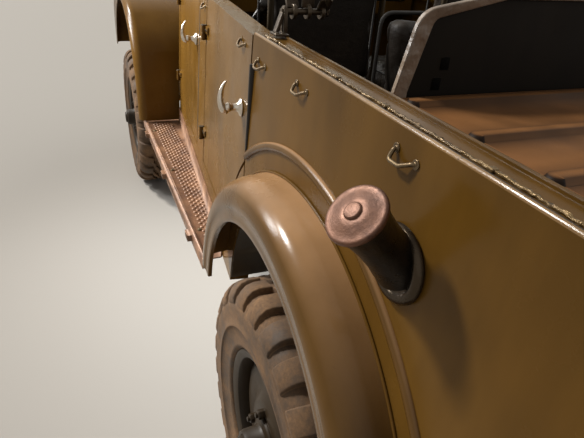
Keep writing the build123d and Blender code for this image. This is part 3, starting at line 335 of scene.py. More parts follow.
@dataclass(frozen=True)
class Paint:
    """Old brushed and sprayed paint on sheet metal: wavy, chipped at its edges, dusty low down, with painted
    shade on steep faces and painted light on a crown's top when their shares are set.
    """

    name: str
    colour: tuple[int, int, int]
    shade: tuple[int, int, int]
    dust: float = 0.25
    gloss: float = 0.3
    coat: float = 0.5
    wave: float = 0.0016
    # sides: share of painted shade, a dark brown laid on steep faces.
    sides: float = 0.0
    crumple: float = 0.0
    # crown: share of painted light, a pale peach tint on up-facing high places.
    crown: float = 0.0
    shine: float = 0.5

    def material(self) -> bpy.types.Material:
        """Build the node material.

        Returns:
            The material.
        """
        web = Web(self.name)
        wide = web.ramp(web.noise(2.1, 3.0), 0, 0.35, 0.68)
        streak = web.noise(9.0, 5.0, stretch=(1, 1, 0.28), offset=(3, 1, 0))
        colour = web.blend(wide, tint(*self.colour), tint(*self.shade))
        faded = tuple(min(255, int(c * 1.16 + 6)) for c in self.colour)
        colour = web.blend(web.ramp(streak, 0, 0.42, 0.75, 0.0, 0.45), colour, tint(*faded))
        low = web.ramp(web.height(), 2, 0.95, 0.45)
        speck = web.ramp(web.noise(38.0, 6.0, 0.7), 0, 0.3, 0.72)
        top = web.times(web.facing_up(), web.ramp(web.noise(5.0, 4.0), 0, 0.3, 0.8, 0.1, 0.55))
        grime = web.times(web.combine("MAXIMUM", web.times(low, speck), top),
                          web.ramp(web.noise(1.4), 0, 0.2, 0.6, self.dust, self.dust * 1.7))
        colour = web.blend(grime, colour, tint(124, 98, 66))
        # Painted shade: steep faces, such as the sides of ribs, are darkened towards a dark brown.
        if self.sides:
            painted_side_shade = web.ramp(web.facing_up(0.8, 0.985), 0, 0.0, 1.0, self.sides, 0.0)
            colour = web.blend(painted_side_shade, colour, tint(34, 22, 13))
        # Painted light: the up-facing top of a crown is tinted pale peach where the lamp falls on it, in
        # part pale dust.
        if self.crown:
            pale = web.ramp(web.noise(7.0, 5.0, 0.6), 0, 0.25, 0.75, self.crown * 0.6, self.crown)
            high = web.times(web.facing_up(0.45, 0.92), web.ramp(web.height(), 2, 0.8, 0.97))
            colour = web.blend(web.times(high, pale), colour, tint(188, 146, 104))
        rounded, edge = web.edges(0.0022)
        chips = web.times(edge, web.ramp(web.noise(70.0, 5.0, 0.65), 0, 0.5, 0.62, 0.0, 0.75))
        colour = web.blend(chips, colour, tint(74, 62, 48))
        spots = web.ramp(web.noise(55.0, 3.0, 0.6, offset=(7, 7, 2)), 0, 0.735, 0.76)
        colour = web.blend(web.times(spots, web.ramp(web.noise(2.4), 0, 0.45, 0.7)), colour,
                           tint(52, 43, 32))
        sheen = web.ramp(web.noise(6.0, 6.0, 0.6), 0, 0.3, 0.7, self.gloss - 0.07, self.gloss + 0.12)
        rough = web.combine("ADD", sheen, grime)
        if self.crumple:
            rounded = web.bump(web.noise(22.0, 3.0, 0.5), self.crumple, 1.0, rounded)
        waves = web.bump(web.noise(3.2, 2.0, 0.4), self.wave, 1.0, rounded)
        peel = web.bump(web.noise(190.0, 2.0, 0.5), 0.00006, 1.0, waves)
        return web.finish(colour, rough, peel, coat=self.coat, Specular_IOR_Level=self.shine)


@dataclass(frozen=True)
class Metal:
    """Bare or coated metal with scratches, and rust or dirt where it is not rubbed."""

    name: str
    colour: tuple[int, int, int]
    rust: tuple[int, int, int]
    share: float = 0.35
    rough: float = 0.35
    metal: float = 1.0
    grain: float = 0.0003

    def material(self) -> bpy.types.Material:
        """Build the node material.

        Returns:
            The material.
        """
        web = Web(self.name)
        patch = web.ramp(web.noise(14.0, 6.0, 0.65), 0, 0.62 - self.share * 0.4, 0.8 - self.share * 0.4)
        fine = web.ramp(web.noise(120.0, 4.0, 0.7), 0, 0.35, 0.7, 0.45, 1.0)
        colour = web.blend(web.times(patch, fine), tint(*self.colour), tint(*self.rust))
        rounded, edge = web.edges(0.0015)
        bright = tuple(min(255, int(c * 1.35 + 12)) for c in self.colour)
        colour = web.blend(web.times(edge, fine), colour, tint(*bright))
        rough = web.ramp(web.noise(30.0, 6.0, 0.7), 0, 0.3, 0.7, self.rough - 0.1, self.rough + 0.2)
        normal = web.bump(web.noise(150.0, 4.0, 0.7), self.grain, 1.0, rounded)
        return web.finish(colour, rough, normal, metal=self.metal)


@dataclass(frozen=True)
class Rubber:
    """Rubber with dust in its hollows and on what it rolls on."""

    name: str
    colour: tuple[int, int, int] = (36, 31, 26)
    dust: tuple[int, int, int] = (150, 112, 74)
    share: float = 0.9

    def material(self) -> bpy.types.Material:
        """Build the node material.

        Returns:
            The material.
        """
        web = Web(self.name)
        cloud = web.ramp(web.noise(11.0, 6.0, 0.65), 0, 0.3, 0.72, 0.1, self.share)
        fine = web.ramp(web.noise(140.0, 5.0, 0.7), 0, 0.3, 0.75, 0.45, 1.0)
        colour = web.blend(web.times(cloud, fine), tint(*self.colour), tint(*self.dust))
        rounded, edge = web.edges(0.003)
        colour = web.blend(web.times(edge, web.ramp(fine, 0, 0.4, 1.0, 0.2, 0.6)), colour, tint(*self.dust))
        rough = web.ramp(cloud, 0, 0.0, 0.6, 0.55, 0.9)
        normal = web.bump(web.noise(260.0, 4.0, 0.65), 0.0004, 1.0, rounded)
        return web.finish(colour, rough, normal)


@dataclass(frozen=True)
class Leathercloth:
    """Pebbled seat covering, creased and rubbed paler in patches."""

    name: str
    colour: tuple[int, int, int]
    worn: tuple[int, int, int]

    def material(self) -> bpy.types.Material:
        """Build the node material.

        Returns:
            The material.
        """
        web = Web(self.name)
        rub = web.ramp(web.noise(4.0, 5.0, 0.6), 0, 0.4, 0.72)
        fine = web.ramp(web.noise(60.0, 5.0, 0.7), 0, 0.3, 0.7, 0.4, 1.0)
        colour = web.blend(web.times(rub, fine), tint(*self.colour), tint(*self.worn))
        cells = web.add("ShaderNodeTexVoronoi", feature="SMOOTH_F1")
        cells.inputs["Scale"].default_value = 520.0
        web.join(web.place, "Object", cells, "Vector")
        creases = web.bump(web.noise(16.0, 6.0, 0.7, stretch=(1, 1, 1.8)), 0.0022)
        pebble = web.bump(cells, 0.00035, 0.8, creases)
        rough = web.ramp(fine, 0, 0.4, 1.0, 0.42, 0.62)
        return web.finish(colour, rough, pebble, Specular_IOR_Level=0.2)


@dataclass(frozen=True)
class Glass:
    """Clear glass with a little dust and a faint ripple."""

    name: str
    colour: tuple[int, int, int]
    flutes: float = 0.0

    def material(self) -> bpy.types.Material:
        """Build the node material.

        Returns:
            The material.
        """
        web = Web(self.name)
        dust = web.ramp(web.noise(8.0, 6.0, 0.7), 0, 0.45, 0.8, 0.02, 0.16)
        normal = None
        if self.flutes:
            wave = web.add("ShaderNodeTexWave", bands_direction="Y")
            wave.inputs["Scale"].default_value = self.flutes
            web.join(web.place, "Object", wave, "Vector")
            normal = web.bump(wave, 0.0016)
        material = web.finish(tint(*self.colour), dust, normal, Transmission_Weight=0.96, IOR=1.45)
        material.use_screen_refraction = True
        return material


OLIVE = Paint("olive_body_paint", (100, 70, 25), (76, 53, 18), dust=0.04, gloss=0.2, coat=0.0, shine=0.12)
# Painted highlight: a paler olive on the rail's rolled lips stands for the light caught along their rounded
# edges.
OLIVE_PAINTED_HIGHLIGHT_EDGE = Paint("rubbed_edge_paint", (146, 112, 62), (112, 82, 42), dust=0.0, gloss=0.18, coat=0.3,
                   shine=0.6)
# A darker copy of the body paint for the fenders and arch beads: painted shade on their sides, with painted
# light on the crown.
OLIVE_FENDER_LIT_AND_SHADED = Paint("olive_fender_paint", (94, 66, 26), (66, 44, 20), dust=0.02, gloss=0.18, coat=0.0,
                     crown=0.8, shine=0.22)
# Darker olive for inner and lesser parts: a duller paint, darkened further as painted shade for the parts
# that sit in the shade inside the body.
OLIVE_DULL_AND_SHADED = Paint("olive_inner_paint", (58, 45, 22), (44, 34, 17), dust=0.12, gloss=0.45, coat=0.0,
                   shine=0.3)
OLIVE_WHEEL = Paint("olive_wheel_paint", (40, 30, 17), (26, 19, 11), dust=0.03, gloss=0.4, coat=0.0,
                    shine=0.22)
DECK_TAN = Paint("worn_deck_paint", (120, 80, 44), (88, 57, 30), dust=0.12, gloss=0.5, coat=0.0, wave=0.003,
                 sides=1.0, shine=0.12)
# Near black for the strap slots in the seat back: painted shade of the openings.
SLOT_PAINTED_SHADE = Paint("strap_slot_black", (9, 7, 5), (6, 5, 4), dust=0.0, gloss=0.7, coat=0.0, shine=0.05)
# Near-black brown for the seat back's field: painted shade, as the panel faces away from the light.
BACK_PAINTED_SHADE = Paint("shaded_back_panel_paint", (25, 19, 12), (17, 13, 9), dust=0.02, gloss=0.55, coat=0.0,
                   shine=0.15)
FLOOR_PAINT = Paint("worn_floor_paint", (56, 44, 26), (40, 31, 19), dust=0.25, gloss=0.55, coat=0.0)
PRIMER = Paint("bare_grey_primer", (158, 140, 122), (96, 80, 64), dust=0.15, gloss=0.36, coat=0.1,
               crumple=0.01)
DARK_FRAME = Metal("black_chassis_paint", (28, 27, 25), (70, 52, 38), share=0.45, rough=0.55, metal=0.0)
CAST_BLACK = Metal("black_cast_metal", (25, 20, 14), (46, 32, 20), share=0.3, rough=0.3, metal=0.4,
                   grain=0.0006)
WORN_STEEL = Metal("worn_step_steel", (132, 96, 68), (82, 54, 36), share=0.55, rough=0.42, metal=0.25,
                   grain=0.0008)
COPPER = Metal("tarnished_copper", (110, 74, 54), (74, 46, 33), share=0.5, rough=0.42, metal=0.45,
               grain=0.0005)
CHROME = Metal("old_chrome", (208, 198, 184), (132, 108, 84), share=0.12, rough=0.16, metal=1.0,
               grain=0.0001)
BOW_STEEL = Metal("worn_bow_steel", (78, 66, 50), (50, 38, 27), share=0.5, rough=0.34, metal=0.55)
ZINC = Metal("dull_zinc", (112, 96, 72), (76, 58, 40), share=0.45, rough=0.34, metal=0.8)
RING_METAL = Metal("polished_ring_metal", (64, 54, 42), (36, 28, 20), share=0.3, rough=0.2, metal=0.85,
                   grain=0.0002)
SEALANT = Metal("dried_sealant", (128, 104, 66), (60, 44, 24), share=0.6, rough=0.18, metal=0.45,
                grain=0.002)
TYRE_RUBBER = Rubber("dusty_tyre_rubber")
SEAL_RUBBER = Rubber("black_seal_rubber", (22, 19, 16), dust=(52, 44, 34), share=0.3)
SEAT_COVER = Leathercloth("seat_leathercloth", (27, 22, 17), (48, 39, 30))
CLEAR = Glass("clear_glass", (232, 240, 236))
LENS = Glass("fluted_lens_glass", (240, 242, 236), flutes=26.0)
RED_LENS = Glass("red_lens_glass", (190, 20, 16), flutes=40.0)
AMBER_LENS = Glass("amber_lens_glass", (236, 120, 20), flutes=40.0)


class Finishes:
    """Materials made once each, from their finish."""

    made: dict[str, bpy.types.Material] = {}

    @classmethod
    def of(cls, finish: object) -> bpy.types.Material:
        """The material of a finish.

        Args:
            finish: any of the finishes above.

        Returns:
            Its material, made at its first use.
        """
        if finish.name not in cls.made:
            cls.made[finish.name] = finish.material()
        return cls.made[finish.name]


# Bench

class Bench:
    """The modelling steps that the pieces share, each one an operator used as by hand."""

    @staticmethod
    def clear() -> None:
        """Leave edit mode and select nothing."""
        if bpy.context.object is not None and bpy.context.object.mode != "OBJECT":
            bpy.ops.object.mode_set(mode="OBJECT")
        bpy.ops.object.select_all(action="DESELECT")

    @staticmethod
    def take(*objects: Piece) -> Piece:
        """Select these objects, with the first one active.

        Args:
            objects: what is to be selected.

        Returns:
            The first one.
        """
        Bench.clear()
        for each in objects:
            each.select_set(True)
        bpy.context.view_layer.objects.active = objects[0]
        return objects[0]

    @staticmethod
    def settle(piece: Piece) -> Piece:
        """Move an object's place into its mesh.

        Args:
            piece: the object.

        Returns:
            The same object, at the origin.
        """
        Bench.take(piece)
        bpy.ops.object.transform_apply(location=True, rotation=True, scale=True)
        return piece

    @staticmethod
    def edit(piece: Piece, mode: str = "VERT") -> None:
        """Enter edit mode with everything selected.

        Args:
            piece: the mesh.
            mode: VERT, EDGE or FACE.
        """
        Bench.take(piece)
        bpy.ops.object.mode_set(mode="EDIT")
        bpy.ops.mesh.select_mode(type=mode)
        bpy.ops.mesh.select_all(action="SELECT")

    @staticmethod
    def done() -> None:
        """Back to object mode."""
        bpy.ops.object.mode_set(mode="OBJECT")

    @staticmethod
    def outward() -> None:
        """Turn every face of the mesh in edit mode outwards."""
        bpy.ops.mesh.select_all(action="SELECT")
        bpy.ops.mesh.normals_make_consistent(inside=False)

    @staticmethod
    def weld(distance: float = MERGE) -> None:
        """Merge the doubles of the mesh in edit mode and turn its faces outwards.

        Args:
            distance: how far apart doubles may lie.
        """
        bpy.ops.mesh.select_all(action="SELECT")
        bpy.ops.mesh.remove_doubles(threshold=distance)
        Bench.outward()

    @staticmethod
    def flip(piece: Piece) -> None:
        """Turn a piece's faces round.

        Args:
            piece: the mesh.
        """
        Bench.edit(piece)
        bpy.ops.mesh.flip_normals()
        Bench.done()

    @staticmethod
    def block(name: str, low: Point, high: Point, round_by: float = 0.0, segments: int = 2) -> Piece:
        """A block between two corners, with rounded edges.

        Args:
            name: the piece's name.
            low, high: corners in metres.
            round_by: bevel width.
            segments: bevel segments.

        Returns:
            The new object.
        """
        Bench.clear()
        a, b = Vector(low), Vector(high)
        bpy.ops.mesh.primitive_cube_add(size=1, location=(a + b) / 2)
        piece = bpy.context.object
        piece.name = name
        piece.scale = b - a
        Bench.settle(piece)
        if round_by:
            Bench.bevel(piece, round_by, segments)
        return piece

    @staticmethod
    def turn_to(direction: Vector) -> Matrix:
        """Rotation that takes +Z to a direction."""
        return direction.to_track_quat("Z", "Y").to_matrix().to_4x4()

    @staticmethod
    def rod(name: str, start: Point, end: Point, radius: float, sides: int = 20,
            tip: float | None = None) -> Piece:
        """A round bar, or a cone if tip gives another end radius.

        Args:
            name: the piece's name.
            start, end: middles of its ends in metres.
            radius: radius at the start.
            sides: flats round it.
            tip: radius at the end, if it differs.

        Returns:
            The new object.
        """
        Bench.clear()
        a, b = Vector(start), Vector(end)
        bpy.ops.mesh.primitive_cone_add(vertices=sides, radius1=radius,
                                        radius2=radius if tip is None else tip,
                                        depth=(b - a).length)
        piece = bpy.context.object
        piece.name = name
        piece.matrix_world = Matrix.Translation((a + b) / 2) @ Bench.turn_to(b - a)
        return Bench.settle(piece)

    @staticmethod
    def trace(name: str, points: Iterable[Point], closed: bool = False) -> Piece:
        """A line of edges, extruded vertex by vertex.

        Args:
            name: the piece's name.
            points: places in metres.
            closed: join the last point to the first and fill the face.

        Returns:
            The new object.
        """
        path = [Vector(p) for p in points]
        Bench.clear()
        bpy.ops.mesh.primitive_plane_add(size=0.001, location=path[0])
        piece = bpy.context.object
        piece.name = name
        Bench.edit(piece)
        bpy.ops.mesh.merge(type="CENTER")
        for a, b in zip(path, path[1:]):
            bpy.ops.mesh.extrude_vertices_move(TRANSFORM_OT_translate={"value": b - a})
        if closed:
            bpy.ops.mesh.select_all(action="SELECT")
            bpy.ops.mesh.edge_face_add()
        Bench.done()
        return Bench.settle(piece)

    @staticmethod
    def prism(name: str, outline: Iterable[Point], by: Point) -> Piece:
        """A closed outline drawn out into a solid.

        Args:
            name: the piece's name.
            outline: its corners in metres.
            by: how far and which way it is drawn out.

        Returns:
            The new object.
        """
        piece = Bench.trace(name, outline, closed=True)
        Bench.edit(piece, "FACE")
        bpy.ops.mesh.extrude_region_move(TRANSFORM_OT_translate={"value": by})
        Bench.outward()
        Bench.done()
        return piece

    @staticmethod
    def plate(name: str, outline: Iterable[Point], thick: float = 0.003) -> Piece:
        """A flat sheet inside a closed outline.

        Args:
            name: the piece's name.
            outline: its corners in metres.
            thick: its thickness, half on each side of the outline.

        Returns:
            The new object.
        """
        sheet = Bench.trace(name, outline, closed=True)
        Bench.modify(sheet, "SOLIDIFY", thickness=thick, offset=0)
        return Bench.smooth(sheet, 30)

    @staticmethod
    def lathe(name: str, profile: Iterable[tuple[float, float]], centre: Point, axis: Point,
              steps: int = 48, closed: bool = True) -> Piece:
        """A profile of (radius, height) spun about an axis.

        Args:
            name: the piece's name.
            profile: radius and height pairs in metres, in order round the section.
            centre: where height 0 lies on the axis.
            axis: direction of height.
            steps: divisions of the turn.
            closed: whether the section joins its end to its start.

        Returns:
            The new object.
        """
        points = [(r, 0.0, h) for r, h in profile]
        if closed:
            points.append(points[0])
        piece = Bench.trace(name, points)
        Bench.edit(piece)
        bpy.ops.mesh.spin(steps=steps, angle=2 * math.pi, center=(0, 0, 0), axis=(0, 0, 1))
        Bench.weld()
        Bench.done()
        piece.matrix_world = Matrix.Translation(Vector(centre)) @ Bench.turn_to(Vector(axis))
        return Bench.settle(piece)

    @staticmethod
    def rounded(points: Iterable[Point], radius: float, steps: int = 5) -> list[Vector]:
        """A path with its corners turned on arcs.

        Args:
            points: corner places in metres.
            radius: arc radius.
            steps: points on each arc.

        Returns:
            The path's points.
        """
        path = [Vector(p) for p in points]
        made = [path[0]]
        for a, b, c in zip(path, path[1:], path[2:]):
            u, v = (a - b).normalized(), (c - b).normalized()
            half = u.angle(v) / 2
            reach = min(radius / math.tan(half), (a - b).length * 0.49, (c - b).length * 0.49)
            start, end = b + u * reach, b + v * reach
            for k in range(steps + 1):
                t = k / steps
                made.append(start.lerp(b, t).lerp(b.lerp(end, t), t))
        made.append(path[-1])
        return made

    @staticmethod
    def wire(name: str, points: Iterable[Point], radius: float, smooth: int = 3) -> Piece:
        """A bent round wire along points.

        Args:
            name: the piece's name.
            points: places in metres.
            radius: radius of the wire.
            smooth: steps of its round section.

        Returns:
            The new object.
        """
        piece = Bench.trace(name, points)
        Bench.take(piece)
        bpy.ops.object.convert(target="CURVE")
        piece = bpy.context.object
        piece.data.bevel_depth = radius
        piece.data.bevel_resolution = smooth
        piece.data.use_fill_caps = True
        bpy.ops.object.convert(target="MESH")
        piece = bpy.context.object
        piece.name = name
        Bench.smooth(piece, 50)
        return piece

    @staticmethod
    def modify(piece: Piece, kind: str, **settings: object) -> Piece:
        """Add a modifier and apply it.

        Args:
            piece: the mesh.
            kind: Blender's modifier type.
            settings: properties of the modifier.

        Returns:
            The piece.
        """
        Bench.take(piece)
        modifier = piece.modifiers.new(kind.lower(), kind)
        for key, value in settings.items():
            setattr(modifier, key, value)
        bpy.ops.object.modifier_apply(modifier=modifier.name)
        return piece

    @staticmethod
    def bevel(piece: Piece, width: float, segments: int = 2, angle: float = 30.0) -> Piece:
        """Round the edges sharper than an angle.

        Args:
            piece: the mesh.
            width: width of the round.
            segments: steps across it.
            angle: least angle of an edge, in degrees.

        Returns:
            The piece.
        """
        return Bench.modify(piece, "BEVEL", width=width, segments=segments, limit_method="ANGLE",
                            angle_limit=math.radians(angle), harden_normals=False)

    @staticmethod
    def smooth(piece: Piece, angle: float = 35.0) -> Piece:
        """Shade smooth except across edges sharper than an angle.

        Args:
            piece: the mesh.
            angle: that angle in degrees.

        Returns:
            The piece.
        """
        Bench.take(piece)
        bpy.ops.object.shade_smooth_by_angle(angle=math.radians(angle))
        return piece

    @staticmethod
    def join(name: str, pieces: Sequence[Piece]) -> Piece:
        """Join objects into one piece.

        Args:
            name: the piece's name.
            pieces: the objects.

        Returns:
            The piece.
        """
        Bench.take(*pieces)
        if len(pieces) > 1:
            bpy.ops.object.join()
        piece = bpy.context.object
        piece.name = name
        return Bench.settle(piece)

    @staticmethod
    def copy(piece: Piece, name: str) -> Piece:
        """A copy with its own mesh.

        Args:
            piece: the mesh.
            name: the copy's name.

        Returns:
            The copy.
        """
        made = bpy.data.objects.new(name, piece.data.copy())
        bpy.context.scene.collection.objects.link(made)
        return made

    @staticmethod
    def shift(piece: Piece, by: Point) -> Piece:
        """Move an object's mesh."""
        piece.location = Vector(by)
        return Bench.settle(piece)

    @staticmethod
    def mirrored(piece: Piece, name: str) -> Piece:
        """A copy on the other side of the car, with its faces outwards.

        Args:
            piece: the mesh.
            name: the copy's name.

        Returns:
            The copy.
        """
        made = Bench.copy(piece, name)
        made.scale = (1, -1, 1)
        Bench.settle(made)
        Bench.edit(made)
        Bench.outward()
        Bench.done()
        return made

    @staticmethod
    def on_side(piece: Piece, side: Side, name: str) -> Piece:
        """A left piece as it is, or its mirror image in its place on the right.

        Args:
            piece: the piece, modelled for the left.
            side: the side that it is for.
            name: its name there.

        Returns:
            The piece for that side.
        """
        if side is Side.RIGHT:
            turned = Bench.mirrored(piece, "turned")
            bpy.data.objects.remove(piece)
            piece = turned
        piece.name = name
        return piece

    @staticmethod
    def ring_of(piece: Piece, count: int, axis: Point, centre: Point) -> Piece:
        """Repeat a piece round an axis, by an array turned on a helper object.

        Args:
            piece: the mesh.
            count: how many in the ring.
            axis: the ring's axis.
            centre: a point on it.

        Returns:
            The piece with its copies.
        """
        helper = bpy.data.objects.new("turning_helper", None)
        bpy.context.scene.collection.objects.link(helper)
        middle = Matrix.Translation(Vector(centre))
        turn = Matrix.Rotation(2 * math.pi / count, 4, Vector(axis))
        helper.matrix_world = middle @ turn @ middle.inverted()
        bpy.context.view_layer.update()
        Bench.modify(piece, "ARRAY", count=count, use_relative_offset=False, use_object_offset=True,
                     offset_object=helper)
        bpy.data.objects.remove(helper)
        return piece

    @staticmethod
    def row_of(piece: Piece, count: int, step: Point) -> Piece:
        """Repeat a piece along a line.

        Args:
            piece: the mesh.
            count: how many in the row.
            step: from one to the next.

        Returns:
            The piece with its copies.
        """
        return Bench.modify(piece, "ARRAY", count=count, use_relative_offset=False, use_constant_offset=True,
                            constant_offset_displace=Vector(step))

    @staticmethod
    def cut(piece: Piece, point: Point, normal: Point,
            chosen: Callable[[Vector], bool] | None = None) -> Piece:
        """Cut away what lies on the side of a plane that its normal leaves.

        Args:
            piece: the mesh.
            point: a point on the plane.
            normal: points to the side that stays.
            chosen: which faces the cut acts on, by their middle.

        Returns:
            The piece.
        """
        if chosen is not None:
            Bench.edit(piece, "FACE")
            bpy.ops.mesh.select_all(action="DESELECT")
            Bench.done()
            for face in piece.data.polygons:
                face.select = chosen(face.center)
            bpy.ops.object.mode_set(mode="EDIT")
        else:
            Bench.edit(piece, "FACE")
        bpy.ops.mesh.bisect(plane_co=Vector(point), plane_no=Vector(normal), clear_inner=True)
        Bench.done()
        return piece


class Yard:
    """Where finished pieces are handed over to the frame."""

    made: list[str] = []

    @classmethod
    def hand_over(cls, piece: Piece, body: str, slot: str, finish: object,
                  replaces: Sequence[str] = ()) -> Piece:
        """Dress a piece and let it ride.

        Args:
            piece: the finished mesh.
            body: CAD body that carries it.
            slot: not used.
            finish: its finish.
            replaces: CAD nodes that it stands for.

        Returns:
            The piece.
        """
        piece.data.materials.clear()
        piece.data.materials.append(Finishes.of(finish))
        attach(piece, body)
        if replaces:
            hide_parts(*replaces)
        cls.made.append(piece.name)
        return piece


# The body's side surface

@dataclass(frozen=True)
class SideSurface:
    """The outer surface of a body side: it leans out downwards, and draws in ahead of the kink."""

    kink_x: float = -0.672
    half_width: float = 0.715
    rail_z: float = 1.183
    lean: float = 2.5
    taper: float = 5.0

    def normal(self, x: float) -> Vector:
        """Outward normal on the left side at a station.

        Args:
            x: the station.

        Returns:
            The unit normal.
        """
        a = math.radians(self.taper if x > self.kink_x else 0.0)
        t = math.radians(self.lean)
        return Vector((math.sin(a) * math.cos(t), math.cos(a) * math.cos(t), math.sin(t)))

    def y(self, x: float, z: float) -> float:
        """Half width of the body at a place.

        Args:
            x, z: the place.

        Returns:
            Its Y on the left side.
        """
        draw = max(0.0, x - self.kink_x) * math.tan(math.radians(self.taper))
        return self.half_width + (self.rail_z - z) * math.tan(math.radians(self.lean)) - draw

    def spot(self, x: float, z: float, out: float = 0.0) -> Vector:
        """A point on the left side, moved out along its normal."""
        return Vector((x, self.y(x, z), z)) + self.normal(x) * out


SKIN = SideSurface()


# CAD panels carried over

@dataclass
class Panelwork:
    """CAD nodes whose shape is right, each as one merged and smoothly shaded copy."""

    table: tuple[tuple[str, object, str, Shape], ...] = (
        ("quarter_panels front_fenders door_posts cowl hood tailgate grille_panel windshield_frame "
         "front_left_door front_right_door rear_left_door rear_right_door",
         OLIVE, "body_paint", Shape.SHEET),
        ("wheelhouses", OLIVE_DULL_AND_SHADED, "body_paint", Shape.SHEET),
        ("floor", FLOOR_PAINT, "floor_paint", Shape.RIBBED),
        ("rear_deck", DECK_TAN, "deck_paint", Shape.RIBBED),
        ("running_boards", WORN_STEEL, "worn_steel", Shape.RIBBED),
        ("chassis_frame leaf_springs front_axle rear_axle tie_rod drivetrain engine_and_radiator exhaust "
         "left_knuckle right_knuckle",
         DARK_FRAME, "dark_steel", Shape.CAST),
        ("fuel_tank", DARK_FRAME, "dark_steel", Shape.ROUND),
        ("bumpers", OLIVE_DULL_AND_SHADED, "dark_steel", Shape.SHEET),
        ("steering_column levers", CAST_BLACK, "dark_steel", Shape.CAST),
        ("steering_wheel", CAST_BLACK, "black_plastic", Shape.ROUND),
        ("front_seat_frames", OLIVE_DULL_AND_SHADED, "dark_steel", Shape.CAST),
        ("windshield_glass", CLEAR, "glass", Shape.SHEET),
    )

    def carry(self, node: str, finish: object, slot: str, shape: Shape) -> Piece:
        """Copy one node, merge its loose triangles and shade it.

        Args:
            node: CAD node.
            finish: finish for the copy.
            slot: the record's material slot.
            shape: how sharp an edge has to be to stay crisp.

        Returns:
            The piece that stands for the node.
        """
        source = frame["nodes"][node]
        piece = bpy.data.objects.new(f"{node}_shell", source.data.copy())
        bpy.context.scene.collection.objects.link(piece)
        Bench.edit(piece)
        bpy.ops.mesh.remove_doubles(threshold=0.00002)
        Bench.done()
        Bench.smooth(piece, shape.value)
        if shape is Shape.SHEET:
            Bench.modify(piece, "WEIGHTED_NORMAL", mode="FACE_AREA", weight=90, keep_sharp=True)
        return Yard.hand_over(piece, source["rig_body"], slot, finish, (node,))

    def build(self) -> None:
        """Carry over every node of the table."""
        for nodes, finish, slot, shape in self.table:
            for node in nodes.split():
                self.carry(node, finish, slot, shape)


# Wheels

